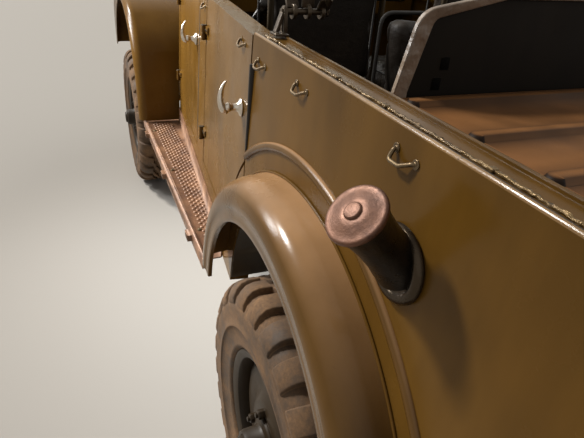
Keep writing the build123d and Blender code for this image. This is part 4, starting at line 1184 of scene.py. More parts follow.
@dataclass
class Wheels:
    """Four cross-ply tyres with bar lugs on disc wheels."""

    centre_y: float = 0.72
    centre_z: float = 0.372
    outer_r: float = 0.372
    groove: float = 0.016
    lug_drop: float = 0.0018
    lug_reach: float = 0.024
    block_drop: float = 0.0022
    stud_r: float = 0.0755
    half_width: float = 0.086
    lugs: int = 27
    axles: tuple[tuple[str, float], ...] = (("front", 1.275), ("rear", -1.025))

    def carcass(self) -> Piece:
        """The tyre's body with sidewall ribs, about the Y axis at the origin.

        Returns:
            The carcass.
        """
        r, w = self.outer_r - self.groove, self.half_width
        half = [
            (r, 0.0), (r, 0.04), (r - 0.002, 0.052), (r - 0.008, 0.064), (r - 0.02, 0.076),
            (r - 0.034, 0.0825), (r - 0.038, 0.0855), (r - 0.044, 0.085), (r - 0.048, w - 0.0005),
            (r - 0.062, w), (r - 0.078, w - 0.001), (r - 0.081, w + 0.001), (r - 0.086, w + 0.001),
            (r - 0.089, w - 0.002), (r - 0.106, 0.081), (r - 0.124, 0.0755), (r - 0.128, 0.0765),
            (r - 0.134, 0.075), (0.216, 0.0705), (0.2145, 0.066), (0.2145, 0.052), (r - 0.11, 0.07),
            (r - 0.04, 0.06), (r - 0.024, 0.03), (r - 0.024, 0.0),
        ]
        section = half + [(a, -b) for a, b in reversed(half[1:-1])]
        return Bench.smooth(Bench.lathe("tyre_carcass", section, ORIGIN, ACROSS, steps=84), 42)

    def shoulder_lug(self, hand: int) -> Piece:
        """One block that wraps from the tread over the shoulder.

        Args:
            hand: 1 or -1, for the +Y or -Y shoulder.

        Returns:
            The block.
        """
        r, wide = self.outer_r - self.lug_drop, self.lug_reach
        profile = [(0.018, r), (0.046, r - 0.0005), (0.062, r - 0.0055), (0.075, r - 0.017),
                   (0.0845, r - 0.034), (0.085, r - 0.046), (0.08, r - 0.054), (0.06, r - 0.03),
                   (0.018, r - 0.02)]
        lug = Bench.prism("shoulder_lug", [(-wide, hand * y, z) for y, z in profile], (2 * wide, 0, 0))
        for vertex in lug.data.vertices:
            vertex.co.x += (abs(vertex.co.y) - 0.018) * 0.1
            if abs(vertex.co.y) < 0.02:
                vertex.co.x *= 1.15
        return Bench.bevel(lug, 0.0026, 2)

    def centre_lug(self, hand: int) -> Piece:
        """One angled block beside the middle groove.

        Args:
            hand: 1 or -1, for the +Y or -Y side.

        Returns:
            The block.
        """
        r = self.outer_r - self.block_drop
        half = math.pi / self.lugs * r * 0.72
        lug = Bench.block("centre_lug", (-half, min(hand * 0.003, hand * 0.0155), r - 0.016),
                          (half, max(hand * 0.003, hand * 0.0155), r))
        for vertex in lug.data.vertices:
            vertex.co.y += vertex.co.x * 0.28
        return Bench.bevel(lug, 0.0016, 2)

    def tyre(self) -> Piece:
        """Carcass and all lugs as one piece, about the Y axis at the origin.

        Returns:
            The tyre.
        """
        parts = [self.carcass()]
        step = math.pi / self.lugs
        for hand in (1, -1):
            for maker, offset in ((self.shoulder_lug, 0.0), (self.centre_lug, 0.5)):
                lug = maker(hand)
                lug.rotation_euler = (0, step * (offset + (0.5 if hand > 0 else 0.0)) * 2, 0)
                Bench.settle(lug)
                parts.append(Bench.ring_of(lug, self.lugs, ACROSS, ORIGIN))
        piece = Bench.join("tyre_pattern", parts)
        return Bench.smooth(piece, 42)

    def disc(self) -> Piece:
        """Pressed wheel: rim, dished disc, hub, studs and nuts, facing +Y.

        Returns:
            The wheel, about the Y axis at the origin.
        """
        rim = Bench.lathe("rim", [
            (0.2135, 0.068), (0.214, 0.064), (0.2125, 0.0605), (0.202, 0.057), (0.196, 0.048),
            (0.1945, 0.02), (0.199, -0.056), (0.2125, -0.0625), (0.2135, -0.068), (0.2115, -0.07),
            (0.1925, -0.06), (0.1885, 0.02), (0.188, 0.05), (0.193, 0.062),
            (0.211, 0.07)], ORIGIN, ACROSS, 72)
        dish = Bench.lathe("dish", [
            (0.19, 0.018), (0.1885, 0.026), (0.176, 0.037), (0.164, 0.0415), (0.148, 0.04), (0.128, 0.037),
            (0.112, 0.041), (0.1, 0.05), (0.09, 0.0525), (0.062, 0.0525), (0.062, 0.0485), (0.089, 0.048),
            (0.098, 0.046), (0.11, 0.037), (0.128, 0.0325), (0.148, 0.0355), (0.164, 0.037), (0.174, 0.033),
            (0.185, 0.023), (0.186, 0.018)], ORIGIN, ACROSS, 72)
        hub = Bench.lathe("hub", [
            (0.0625, 0.04), (0.064, 0.056), (0.061, 0.06), (0.048, 0.064), (0.044, 0.07), (0.043, 0.096),
            (0.04, 0.104), (0.03, 0.11), (0.028, 0.116), (0.016, 0.1175), (0.0, 0.1178),
            (0.0, 0.04)], ORIGIN, ACROSS, 48, closed=False)
        drum = Bench.lathe("drum", [
            (0.06, -0.022), (0.135, -0.022), (0.14, -0.017), (0.14, 0.01), (0.133, 0.02),
            (0.06, 0.022)], ORIGIN, ACROSS, 56)
        nut = Bench.rod("nut", (self.stud_r, 0.05, 0), (self.stud_r, 0.068, 0), 0.0115, 6)
        Bench.bevel(nut, 0.0012, 2)
        stud = Bench.rod("stud", (self.stud_r, 0.05, 0), (self.stud_r, 0.074, 0), 0.006, 12)
        nuts = Bench.ring_of(Bench.join("nuts", [nut, stud]), 5, ACROSS, ORIGIN)
        bolt = Bench.rod("flange_bolt", (0.035, 0.096, 0), (0.035, 0.1075, 0), 0.005, 6)
        bolts = Bench.ring_of(bolt, 6, ACROSS, ORIGIN)
        piece = Bench.join("disc_pattern", [rim, dish, hub, drum, nuts, bolts])
        Bench.bevel(piece, 0.0008, 1, 50)
        return Bench.smooth(piece, 35)

    def build(self) -> None:
        """Make one tyre and disc, and place a copy on every axle end."""
        patterns = ((self.tyre(), "tyre", TYRE_RUBBER, "tyre"),
                    (self.disc(), "wheel", OLIVE_WHEEL, "wheel_paint"))
        for pattern, kind, finish, slot in patterns:
            for end, x in self.axles:
                for side in Side:
                    name = f"{end}_{side.word}_{kind}_made"
                    made = Bench.on_side(Bench.copy(pattern, name), side, name)
                    Bench.shift(made, (x, side.value * self.centre_y, self.centre_z))
                    Yard.hand_over(made, f"{end}_{side.word}_wheel_group", slot, finish,
                                   (f"{end}_{side.word}_{kind}",))
            bpy.data.objects.remove(pattern)


# Rear fenders

@dataclass
class RearFenders:
    """Crowned fenders over the rear wheels, each with its welt against the body."""

    centre: tuple[float, float] = (-1.006, 0.5)
    welt_r: float = 0.481
    ridge_r: float = 0.428
    open_r: float = 0.384
    bead_r: float = 0.531
    out_y: float = 0.811
    tip_deg: float = 8.0
    front_deg: float = -9.0
    steps: int = 96

    def section(self) -> list[tuple[float, float]]:
        """The fender's skin as (Y, radius) from the body to the inner edge of its lip.

        Returns:
            The points of the section.
        """
        w, r, o, y = self.welt_r, self.ridge_r, self.open_r, self.out_y
        crown = [(0.69, w), (0.725, w - 0.001), (0.742, w - 0.0045)]
        for k in range(1, 11):
            t = math.radians(90 * k / 10)
            crown.append((0.742 + (y - 0.742) * math.sin(t) ** 0.92,
                          r + (w - 0.0045 - r) * math.cos(t) ** 0.92))
        return crown + [(y, r - 0.008), (y - 0.0022, r - 0.013), (y - 0.0038, r - 0.017),
                        (y - 0.004, o + 0.012), (y - 0.0032, o + 0.004), (y - 0.005, o), (y - 0.014, o)]

    def skin(self) -> Piece:
        """The skin spun over the wheel, trimmed to the body and given its thickness.

        Returns:
            The left fender.
        """
        cx, cz = self.centre
        start = math.radians(-self.tip_deg)
        aim = Vector((-math.cos(start), 0, math.sin(start)))
        piece = Bench.trace("left_rear_fender", [Vector((cx, y, cz)) + aim * r for y, r in self.section()])
        Bench.edit(piece)
        bpy.ops.mesh.spin(steps=self.steps, angle=math.radians(180 + self.tip_deg + self.front_deg),
                          center=(cx, 0, cz), axis=(0, -1, 0))
        Bench.weld()
        bpy.ops.mesh.bisect(plane_co=(SKIN.kink_x, 0, 0), plane_no=(1, 0, 0))
        Bench.done()
        for ahead in (False, True):
            x = SKIN.kink_x + (0.01 if ahead else -0.01)
            Bench.cut(piece, SKIN.spot(x, 0.7, 0.0006), SKIN.normal(x),
                      lambda middle, ahead=ahead: (middle.x > SKIN.kink_x) == ahead)
        self.face_out(piece)
        Bench.modify(piece, "SOLIDIFY", thickness=0.003, offset=-1)
        return Bench.smooth(piece, 38)

    def face_out(self, piece: Piece) -> None:
        """Turn the skin's faces away from the wheel if they face it.

        Args:
            piece: the skin.
        """
        face = max(piece.data.polygons, key=lambda each: each.center.z)
        if face.normal.z < 0:
            Bench.flip(piece)

    def welt(self) -> Piece:
        """The rolled bead where the fender meets the body.

        Returns:
            The left welt.
        """
        cx, cz = self.centre
        points = []
        for k in range(73):
            a = math.radians(-self.tip_deg + (180 + self.tip_deg + self.front_deg) * k / 72)
            x, z = cx - self.welt_r * math.cos(a), cz + self.welt_r * math.sin(a)
            points.append(SKIN.spot(x, z, 0.0022))
        return Bench.wire("left_rear_fender_welt", points, 0.0026)

    def bead(self) -> Piece:
        """The broad pressed bead round the arch, flattened against the side.

        Returns:
            The left bead.
        """
        cx, cz = self.centre
        points, front = [], math.acos((SKIN.kink_x - 0.01 - cx) / self.bead_r)
        for k in range(73):
            a = front + (math.pi + math.radians(self.tip_deg) - front) * k / 72
            points.append(SKIN.spot(cx + self.bead_r * math.cos(a), cz + self.bead_r * math.sin(a), 0.0004))
        piece = Bench.wire("left_arch_bead", points, 0.0092)
        way = SKIN.normal(cx)
        for vertex in piece.data.vertices:
            off = (vertex.co - SKIN.spot(vertex.co.x, vertex.co.z)).dot(way)
            vertex.co -= way * (off * 0.18)
        return piece

    def build(self) -> None:
        """Make the left fender, welt and bead, and mirror them."""
        skin, welt, bead = self.skin(), self.welt(), self.bead()
        right = Bench.smooth(Bench.mirrored(skin, "right_rear_fender"), 38)
        right_welt = Bench.mirrored(welt, "right_rear_fender_welt")
        Yard.hand_over(skin, ROOT, "body_paint", OLIVE_FENDER_LIT_AND_SHADED, ("rear_fenders",))
        Yard.hand_over(right, ROOT, "body_paint", OLIVE_FENDER_LIT_AND_SHADED)
        for each in (bead, Bench.mirrored(bead, "right_arch_bead")):
            Yard.hand_over(each, ROOT, "body_paint", OLIVE_FENDER_LIT_AND_SHADED)
        for each in (welt, right_welt):
            Yard.hand_over(each, ROOT, "body_paint", OLIVE)


# Rail, hooks and filler

@dataclass
class Rails:
    """The body rail's bead of sealant, a dark wire of painted shade in its groove, its rolled lips in a
    painted highlight, and the nicks across it.
    """

    inset: float = 0.024
    edge_y: float = 0.715
    tail_x: float = -1.895
    corner_r: float = 0.095
    front_x: float = -0.682
    corner_x: float = -1.8
    gate_y: float = 0.466
    top_z: float = 1.1834
    nick_half: float = 0.0045
    nicks_x: tuple[float, ...] = (-0.755, -1.022, -1.166, -1.373, -1.6, -1.74)

    def path(self, inset: float, z: float) -> list[Vector]:
        """Places along the left rail at an inset from its outer edge.

        Args:
            inset: how far in from the edge.
            z: height of the places.

        Returns:
            The places from the front to the tailgate.
        """
        r = self.corner_r - inset
        cx, cy = self.tail_x + self.corner_r, self.edge_y - self.corner_r
        count = 36
        points = [Vector((self.front_x + (self.corner_x - self.front_x) * k / count, self.edge_y - inset, z))
                  for k in range(count + 1)]
        for k in range(1, 9):
            a = math.radians(90 * k / 8)
            points.append(Vector((cx - r * math.sin(a), cy + r * math.cos(a), z)))
        for k in range(1, 6):
            points.append(Vector((self.tail_x + inset, cy + (self.gate_y - cy) * k / 5, z)))
        return points

    def strip(self, side: Side) -> Piece:
        """Crinkled bead of sealant along the rail.

        Args:
            side: the side that it is for.

        Returns:
            The bead.
        """
        draw = random.Random(7)
        points = []
        coarse = self.path(self.inset, self.top_z + 0.001)
        for a, b in zip(coarse, coarse[1:]):
            count = max(1, int((b - a).length / 0.005))
            for k in range(count):
                p = a.lerp(b, k / count)
                p.z += draw.uniform(-0.0008, 0.0008)
                p.y += draw.uniform(-0.0009, 0.0009)
                points.append(p)
        strip = Bench.wire(f"{side.word}_rail_sealant", points, 0.0024, smooth=2)
        for vertex in strip.data.vertices:
            vertex.co += Vector((draw.uniform(-1, 1), draw.uniform(-1, 1), draw.uniform(-1, 1))) * 0.0007
        return Bench.smooth(Bench.on_side(strip, side, f"{side.word}_rail_sealant"), 60)

    def build(self) -> None:
        """Beads, painted groove shade, lips and nicks on both sides."""
        for side in Side:
            Yard.hand_over(self.strip(side), ROOT, "body_paint", SEALANT)
            # Painted shade: a thin dark wire lies in the groove, where the groove is in shadow.
            groove = Bench.wire("groove", self.path(self.inset - 0.0055, self.top_z - 0.0012), 0.0018,
                                smooth=1)
            lip = Bench.wire("lip", self.path(0.0035, self.top_z + 0.004), 0.0036, smooth=2)
            inner = Bench.wire("inner", self.path(0.0575, self.top_z - 0.0004), 0.0026, smooth=2)
            half, y = self.nick_half, self.edge_y - self.inset
            nicks = [Bench.block("nick", (x - half, y - half, self.top_z - 0.0005),
                                 (x + half, y + half, self.top_z + 0.0046), 0.0014) for x in self.nicks_x]
            made = [(Bench.join("rail_groove", [groove]), SEAL_RUBBER),
                    (Bench.join("rail_lip", [lip, inner]), OLIVE_PAINTED_HIGHLIGHT_EDGE),
                    (Bench.join("rail_nicks", nicks), SEALANT)]
            for piece, finish in made:
                name = f"{side.word}_{piece.name.split('.')[0]}"
                Yard.hand_over(Bench.on_side(piece, side, name), ROOT, "body_paint", finish)


@dataclass
class Hooks:
    """Bent wire staples along the sides that hold a cover."""

    spots: tuple[tuple[float, float, str], ...] = (
        (0.012, 1.152, ROOT),
        (-0.585, 1.156, "rear_{side}_door_group"),
        (-0.738, 1.143, ROOT),
        (-0.946, 1.152, ROOT),
        (-1.264, 1.16, ROOT),
        (-1.58, 1.16, ROOT),
        (0.42, 1.154, "front_{side}_door_group"),
    )
    half: float = 0.0215

    def build(self) -> None:
        """One staple at each spot of both sides."""
        for side in Side:
            for number, (x, z, body) in enumerate(self.spots):
                front, rear = x + self.half, x - self.half
                corners = [SKIN.spot(front, z, -0.004), SKIN.spot(front, z - 0.001, 0.004),
                           SKIN.spot(front, z - 0.0145, 0.01), SKIN.spot(front - 0.023, z - 0.014, 0.01),
                           SKIN.spot(rear + 0.003, z - 0.0055, 0.004), SKIN.spot(rear, z - 0.0045, -0.003)]
                staple = Bench.wire("staple", Bench.rounded(corners, 0.006), 0.0029)
                feet = [Bench.rod("foot", SKIN.spot(fx, fz, -0.001), SKIN.spot(fx, fz, 0.0016), 0.0062, 16)
                        for fx, fz in ((front, z), (rear, z - 0.0045))]
                piece = Bench.smooth(Bench.join("cover_hook", [staple, *feet]), 45)
                piece = Bench.on_side(piece, side, f"{side.word}_cover_hook_{number}")
                Yard.hand_over(piece, body.format(side=side.word), "chrome", ZINC)


@dataclass
class Filler:
    """Fuel filler on the left quarter: thick ring, waisted neck and domed cap."""

    foot: tuple[float, float, float] = (-1.299, 0.724, 1.031)
    top: tuple[float, float, float] = (-1.31, 0.797, 1.112)

    def build(self) -> None:
        """Turn the ring, neck and cap."""
        foot, top = Vector(self.foot), Vector(self.top)
        axis = (top - foot).normalized()
        out = SKIN.normal(-1.3)
        seat = SKIN.spot(self.foot[0], self.foot[2], 0.0)
        ring = Bench.lathe("filler_ring", [
            (0.03, 0.0004), (0.05, 0.0004), (0.052, 0.003), (0.0515, 0.0075), (0.048, 0.0115),
            (0.043, 0.0125), (0.0385, 0.011), (0.036, 0.008), (0.03, 0.007)], seat, out, 48)
        length = (top - foot).length
        neck = Bench.lathe("filler_neck_tube", [
            (0.02, -0.006), (0.0345, -0.006), (0.033, 0.012), (0.0305, 0.03), (0.0292, length * 0.55),
            (0.0305, length * 0.78), (0.0335, length - 0.006), (0.0342, length - 0.001),
            (0.0342, length + 0.0002), (0.02, length + 0.0002)], foot, axis, 48)
        ring.name, neck.name = "filler_ring_made", "filler_neck_made"
        Yard.hand_over(Bench.smooth(ring, 40), ROOT, "body_paint", RING_METAL)
        Yard.hand_over(Bench.smooth(neck, 40), ROOT, "body_paint", CAST_BLACK, ("filler_neck",))
        cap = Bench.lathe("filler_cap_made", [
            (0.0, 0.0004), (0.0345, 0.0004), (0.037, 0.001), (0.0382, 0.0028), (0.0384, 0.0056),
            (0.0376, 0.0078), (0.0362, 0.0088), (0.034, 0.0086), (0.027, 0.01), (0.019, 0.0118),
            (0.0118, 0.0134), (0.0112, 0.0132), (0.0108, 0.015), (0.01, 0.016), (0.0088, 0.0163),
            (0.0, 0.0163)], top, axis, 64, closed=False)
        Bench.smooth(cap, 50)
        Yard.hand_over(cap, ROOT, "copper", COPPER, ("filler_cap",))


# Doors

@dataclass
class DoorFittings:
    """Handles, hinge screws and black edge strips of the four doors; the strips are painted shadow along the
    doors' free edges.
    """

    handle_z: float = 1.01
    back: float = 0.062
    rears: tuple[tuple[str, float], ...] = (("front", 0.13), ("rear", -0.668))
    fronts: tuple[tuple[str, float], ...] = (("front", 0.74), ("rear", -0.04))

    def handle(self, name: str, rear_x: float) -> Piece:
        """A tapered crescent lever on a rose, with a round boss at its root.

        Args:
            name: the piece's name.
            rear_x: the door's rear edge.

        Returns:
            The handle, on the left.
        """
        x, z = rear_x + self.back, self.handle_z
        root, way = SKIN.spot(x, z), SKIN.normal(x)
        rose = Bench.lathe("rose", [
            (0.0, 0.0003), (0.0205, 0.0003), (0.0212, 0.003), (0.019, 0.006), (0.012, 0.0085),
            (0.0098, 0.013), (0.0084, 0.019), (0.0082, 0.024), (0.0104, 0.0275), (0.0112, 0.033),
            (0.009, 0.0375), (0.0, 0.039)], root, way, 32, closed=False)
        rows = [(0.033, -0.005, 0.0075), (0.0365, -0.0072, 0.0096), (0.0415, -0.0048, 0.0104),
                (0.0455, 0.0015, 0.0098), (0.0483, 0.01, 0.0088), (0.0497, 0.02, 0.0078),
                (0.0495, 0.03, 0.0067), (0.0478, 0.0395, 0.0056), (0.0447, 0.048, 0.0045),
                (0.0405, 0.055, 0.0033), (0.036, 0.06, 0.0018)]
        spine = [SKIN.spot(x + up * 0.1, z + up, out) for out, up, _ in rows]
        lever = Bench.wire("lever", spine, 0.01)
        for vertex in lever.data.vertices:
            place = min(range(len(spine)), key=lambda k: (spine[k] - vertex.co).length)
            vertex.co = spine[place] + (vertex.co - spine[place]) * rows[place][2] / 0.01
        Bench.modify(lever, "REMESH", mode="VOXEL", voxel_size=0.0012)
        Bench.modify(lever, "SMOOTH", iterations=8, factor=0.6)
        return Bench.smooth(Bench.join(name, [rose, lever]), 60)

    def pins(self, name: str, front_x: float) -> Piece:
        """Caps and screws of both hinges, on the door's half.

        Args:
            name: the piece's name.
            front_x: the door's front edge.

        Returns:
            The caps and screws, on the left.
        """
        made = []
        for z in (0.74, 1.073):
            x = front_x + 0.004
            made.append(Bench.rod("pin_cap", SKIN.spot(x, z + 0.0215, 0.009),
                                  SKIN.spot(x, z + 0.0245, 0.009), 0.0088, 20))
            for k in (0.016, 0.034):
                spot = SKIN.spot(front_x - k, z + 0.011, 0.0046)
                made.append(Bench.rod("screw", spot, spot + SKIN.normal(front_x) * 0.0022, 0.0042, 14,
                                      tip=0.0032))
        return Bench.smooth(Bench.join(name, made), 40)

    def slot(self, name: str, rear_x: float) -> Piece:
        """Flat black rubber strip along the door's free edge, painted shadow of the door's proud edge.

        Args:
            name: the piece's name.
            rear_x: the door's rear edge.

        Returns:
            The strip, on the left.
        """
        broad = rear_x < 0
        heights = (0.935, 1.0, 1.07, 1.128) if broad else (0.7, 0.85, 1.0, 1.13)
        lean = 0.06 if broad else 0.0

        def middle(z: float) -> Vector:
            """The strip's middle at a height."""
            return SKIN.spot(rear_x - 0.0105 - max(0.0, z - heights[0]) * lean, z)

        # The black strip paints the shadow behind the door's proud edge; on the rear doors it stands prouder
        # towards the top.
        strip = Bench.wire(name, [middle(z) for z in heights], 0.0052)
        way = SKIN.normal(rear_x)
        for vertex in strip.data.vertices:
            rise = (vertex.co.z - heights[0]) / (heights[-1] - heights[0])
            proud = (0.7 + 1.1 * rise) if broad else 0.18
            vertex.co += way * ((vertex.co - middle(vertex.co.z)).dot(way) * (proud - 1))
        return strip

    def build(self) -> None:
        """Fittings of both doors on both sides."""
        for side in Side:
            for end, rear_x in self.rears:
                door = f"{end}_{side.word}"
                name = f"{door}_handle_made"
                lever = Bench.smooth(Bench.on_side(self.handle(name, rear_x), side, name), 50)
                Yard.hand_over(lever, f"{door}_door_group", "chrome", CHROME, (f"{door}_handle",))
                name = f"{door}_edge_seal"
                seal = Bench.on_side(self.slot(name, rear_x), side, name)
                Yard.hand_over(seal, ROOT, "black_plastic", SEAL_RUBBER)
            for end, front_x in self.fronts:
                name = f"{end}_{side.word}_hinge_screws"
                pins = Bench.on_side(self.pins(name, front_x), side, name)
                Yard.hand_over(pins, f"{end}_{side.word}_door_group", "body_paint", OLIVE_DULL_AND_SHADED)


# Running boards

@dataclass
class StepTread:
    """Staggered pressed studs and bolt heads on the running boards."""

    top_z: float = 0.51
    rear_x: float = -0.44
    front_x: float = 0.77
    inner_y: float = 0.668
    outer_y: float = 0.764
    pitch: float = 0.026
    bolts_x: tuple[float, ...] = (-0.3, 0.18, 0.64)

    def build(self) -> None:
        """Stud rows and bolts on both boards."""
        stud = Bench.lathe("stud", [
            (0.0072, 0.0), (0.0066, 0.0012), (0.004, 0.0026),
            (0.0, 0.0031)], (self.rear_x, self.inner_y, self.top_z), UP, 10, closed=False)
        along = int((self.front_x - self.rear_x) / self.pitch)
        rows = int((self.outer_y - self.inner_y) / (self.pitch * 0.5))
        lines = []
        for row in range(rows):
            line = Bench.copy(stud, "line")
            Bench.shift(line, (self.pitch / 2 * (row % 2), row * self.pitch * 0.5, 0))
            lines.append(Bench.row_of(line, along, (self.pitch, 0, 0)))
        bpy.data.objects.remove(stud)
        y, z = self.outer_y - 0.006, self.top_z
        heads = [Bench.rod("bolt", (x, y, z), (x, y, z + 0.0045), 0.0085, 12, tip=0.006)
                 for x in self.bolts_x]
        left = Bench.smooth(Bench.join("left_step_studs", lines), 60)
        bolts = Bench.smooth(Bench.join("left_step_bolts", heads), 40)
        for piece, finish in ((left, WORN_STEEL), (bolts, ZINC)):
            other = Bench.mirrored(piece, piece.name.replace("left", "right"))
            Yard.hand_over(piece, ROOT, "worn_steel", finish)
            Yard.hand_over(other, ROOT, "worn_steel", finish)


# Seats

@dataclass
class Seats:
    """Two front seats and a rear bench, stuffed pads with sewn channels."""

    rise: float = 0.024
    shrink: float = 0.012
    pads: tuple[tuple[str, Point, Point, str, float, tuple[float, ...]], ...] = (
        ("front_left_cushion", (-0.06, 0.085, 0.7993), (0.39, 0.535, 0.91), "z", 0.91,
         (0.01, 0.09, 0.17, 0.25, 0.33)),
        ("front_right_cushion", (-0.06, -0.535, 0.7993), (0.39, -0.085, 0.91), "z", 0.91,
         (0.01, 0.09, 0.17, 0.25, 0.33)),
        ("front_left_backrest", (-0.1637, 0.095, 0.918), (-0.084, 0.525, 1.32), "x", -0.084,
         (0.98, 1.06, 1.14, 1.22)),
        ("front_right_backrest", (-0.1637, -0.525, 0.918), (-0.084, -0.095, 1.32), "x", -0.084,
         (0.98, 1.06, 1.14, 1.22)),
        ("rear_cushion", (-0.8, -0.585, 0.7403), (-0.4, 0.585, 0.872), "z", 0.872,
         (-0.72, -0.64, -0.56, -0.48)),
        ("rear_backrest", (-0.8927, -0.52, 0.88), (-0.806, 0.52, 1.262), "x", -0.806,
         (0.96, 1.04, 1.12, 1.2)),
    )

    def pad(self, name: str, low: Point, high: Point) -> Piece:
        """A stuffed pad between two corners, swollen by a cloth simulation.

        Args:
            name: the piece's name.
            low, high: corners of the room it may fill.

        Returns:
            The piece, with its cloth applied.
        """
        s = self.shrink
        base = Bench.block(name, [a + s for a in low], [b - s for b in high], 0.02, 3)
        Bench.modify(base, "REMESH", mode="VOXEL", voxel_size=0.008)
        rest = [v.co.copy() for v in base.data.vertices]
        Bench.take(base)
        cloth = base.modifiers.new("cloth", "CLOTH")
        cloth.settings.quality = 4
        cloth.settings.mass = 0.3
        cloth.settings.use_pressure = True
        cloth.settings.uniform_pressure_force = 4.0
        cloth.settings.effector_weights.gravity = 0.0
        cloth.collision_settings.use_collision = False
        scene = bpy.context.scene
        cloth.point_cache.frame_start, cloth.point_cache.frame_end = 1, 20
        for number in range(1, 16):
            scene.frame_set(number)
        Bench.take(base)
        bpy.ops.object.modifier_apply(modifier=cloth.name)
        scene.frame_set(1)
        for vertex, old in zip(base.data.vertices, rest):
            move = vertex.co - old
            if move.length > self.rise:
                vertex.co = old + move.normalized() * self.rise
            for axis in range(3):
                vertex.co[axis] = min(max(vertex.co[axis], low[axis] + 0.0006), high[axis] + 0.004)
        return Bench.modify(base, "SUBSURF", levels=1, render_levels=1)

    def sew(self, piece: Piece, face: str, level: float, seams: tuple[float, ...]) -> None:
        """Press the sewn channels into the crowned face.

        Args:
            piece: the pad.
            face: axis of the crowned face.
            level: the face's height along that axis.
            seams: places of the channels across it.
        """
        across, along = (0, 2) if face == "z" else (2, 0)
        for vertex in piece.data.vertices:
            depth = level - vertex.co[along]
            if depth > 0.045:
                continue
            fall = max(0.0, 1.0 - depth / 0.045)
            press = sum(math.exp(-((vertex.co[across] - s) / 0.0055) ** 2) for s in seams)
            puff = sum(math.exp(-((vertex.co[across] - s) / 0.02) ** 2) for s in seams)
            vertex.co[along] -= fall * (0.0075 * min(press, 1.0) + 0.0035 * min(puff, 1.0))

    def piping(self, name: str, low: Point, high: Point, face: str, level: float) -> Piece:
        """Round piping along the rim of the crowned face.

        Args:
            name: the piece's name.
            low, high: the pad's corners.
            face: axis of the crowned face.
            level: the face's height along it.

        Returns:
            The piping.
        """
        at, s = level - 0.02, 0.01
        (u0, v0), (u1, v1) = ((p[0], p[1]) if face == "z" else (p[1], p[2]) for p in (low, high))
        ring = [(u0 + s, v0 + s), (u1 - s, v0 + s), (u1 - s, v1 - s), (u0 + s, v1 - s), (u0 + s, v0 + s)]
        corners = [(u, v, at) if face == "z" else (at, u, v) for u, v in ring]
        return Bench.wire(name, Bench.rounded(corners, 0.026, 6), 0.0038)

    def build(self) -> None:
        """Make, sew and dress every pad."""
        nodes = {"front": "front_seat_pads", "rear": "rear_seat_pads"}
        seen: set[str] = set()
        for name, low, high, face, level, seams in self.pads:
            piece = self.pad(name, low, high)
            self.sew(piece, face, level, seams)
            Bench.smooth(piece, 80)
            node = nodes[name.split("_")[0]]
            stands_for = () if node in seen else (node,)
            seen.add(node)
            Yard.hand_over(piece, ROOT, "seat_cloth", SEAT_COVER, stands_for)
            piping = self.piping(f"{name}_piping", low, high, face, level)
            Yard.hand_over(piping, ROOT, "seat_cloth", SEAL_RUBBER)


# Nose, lamps and windshield

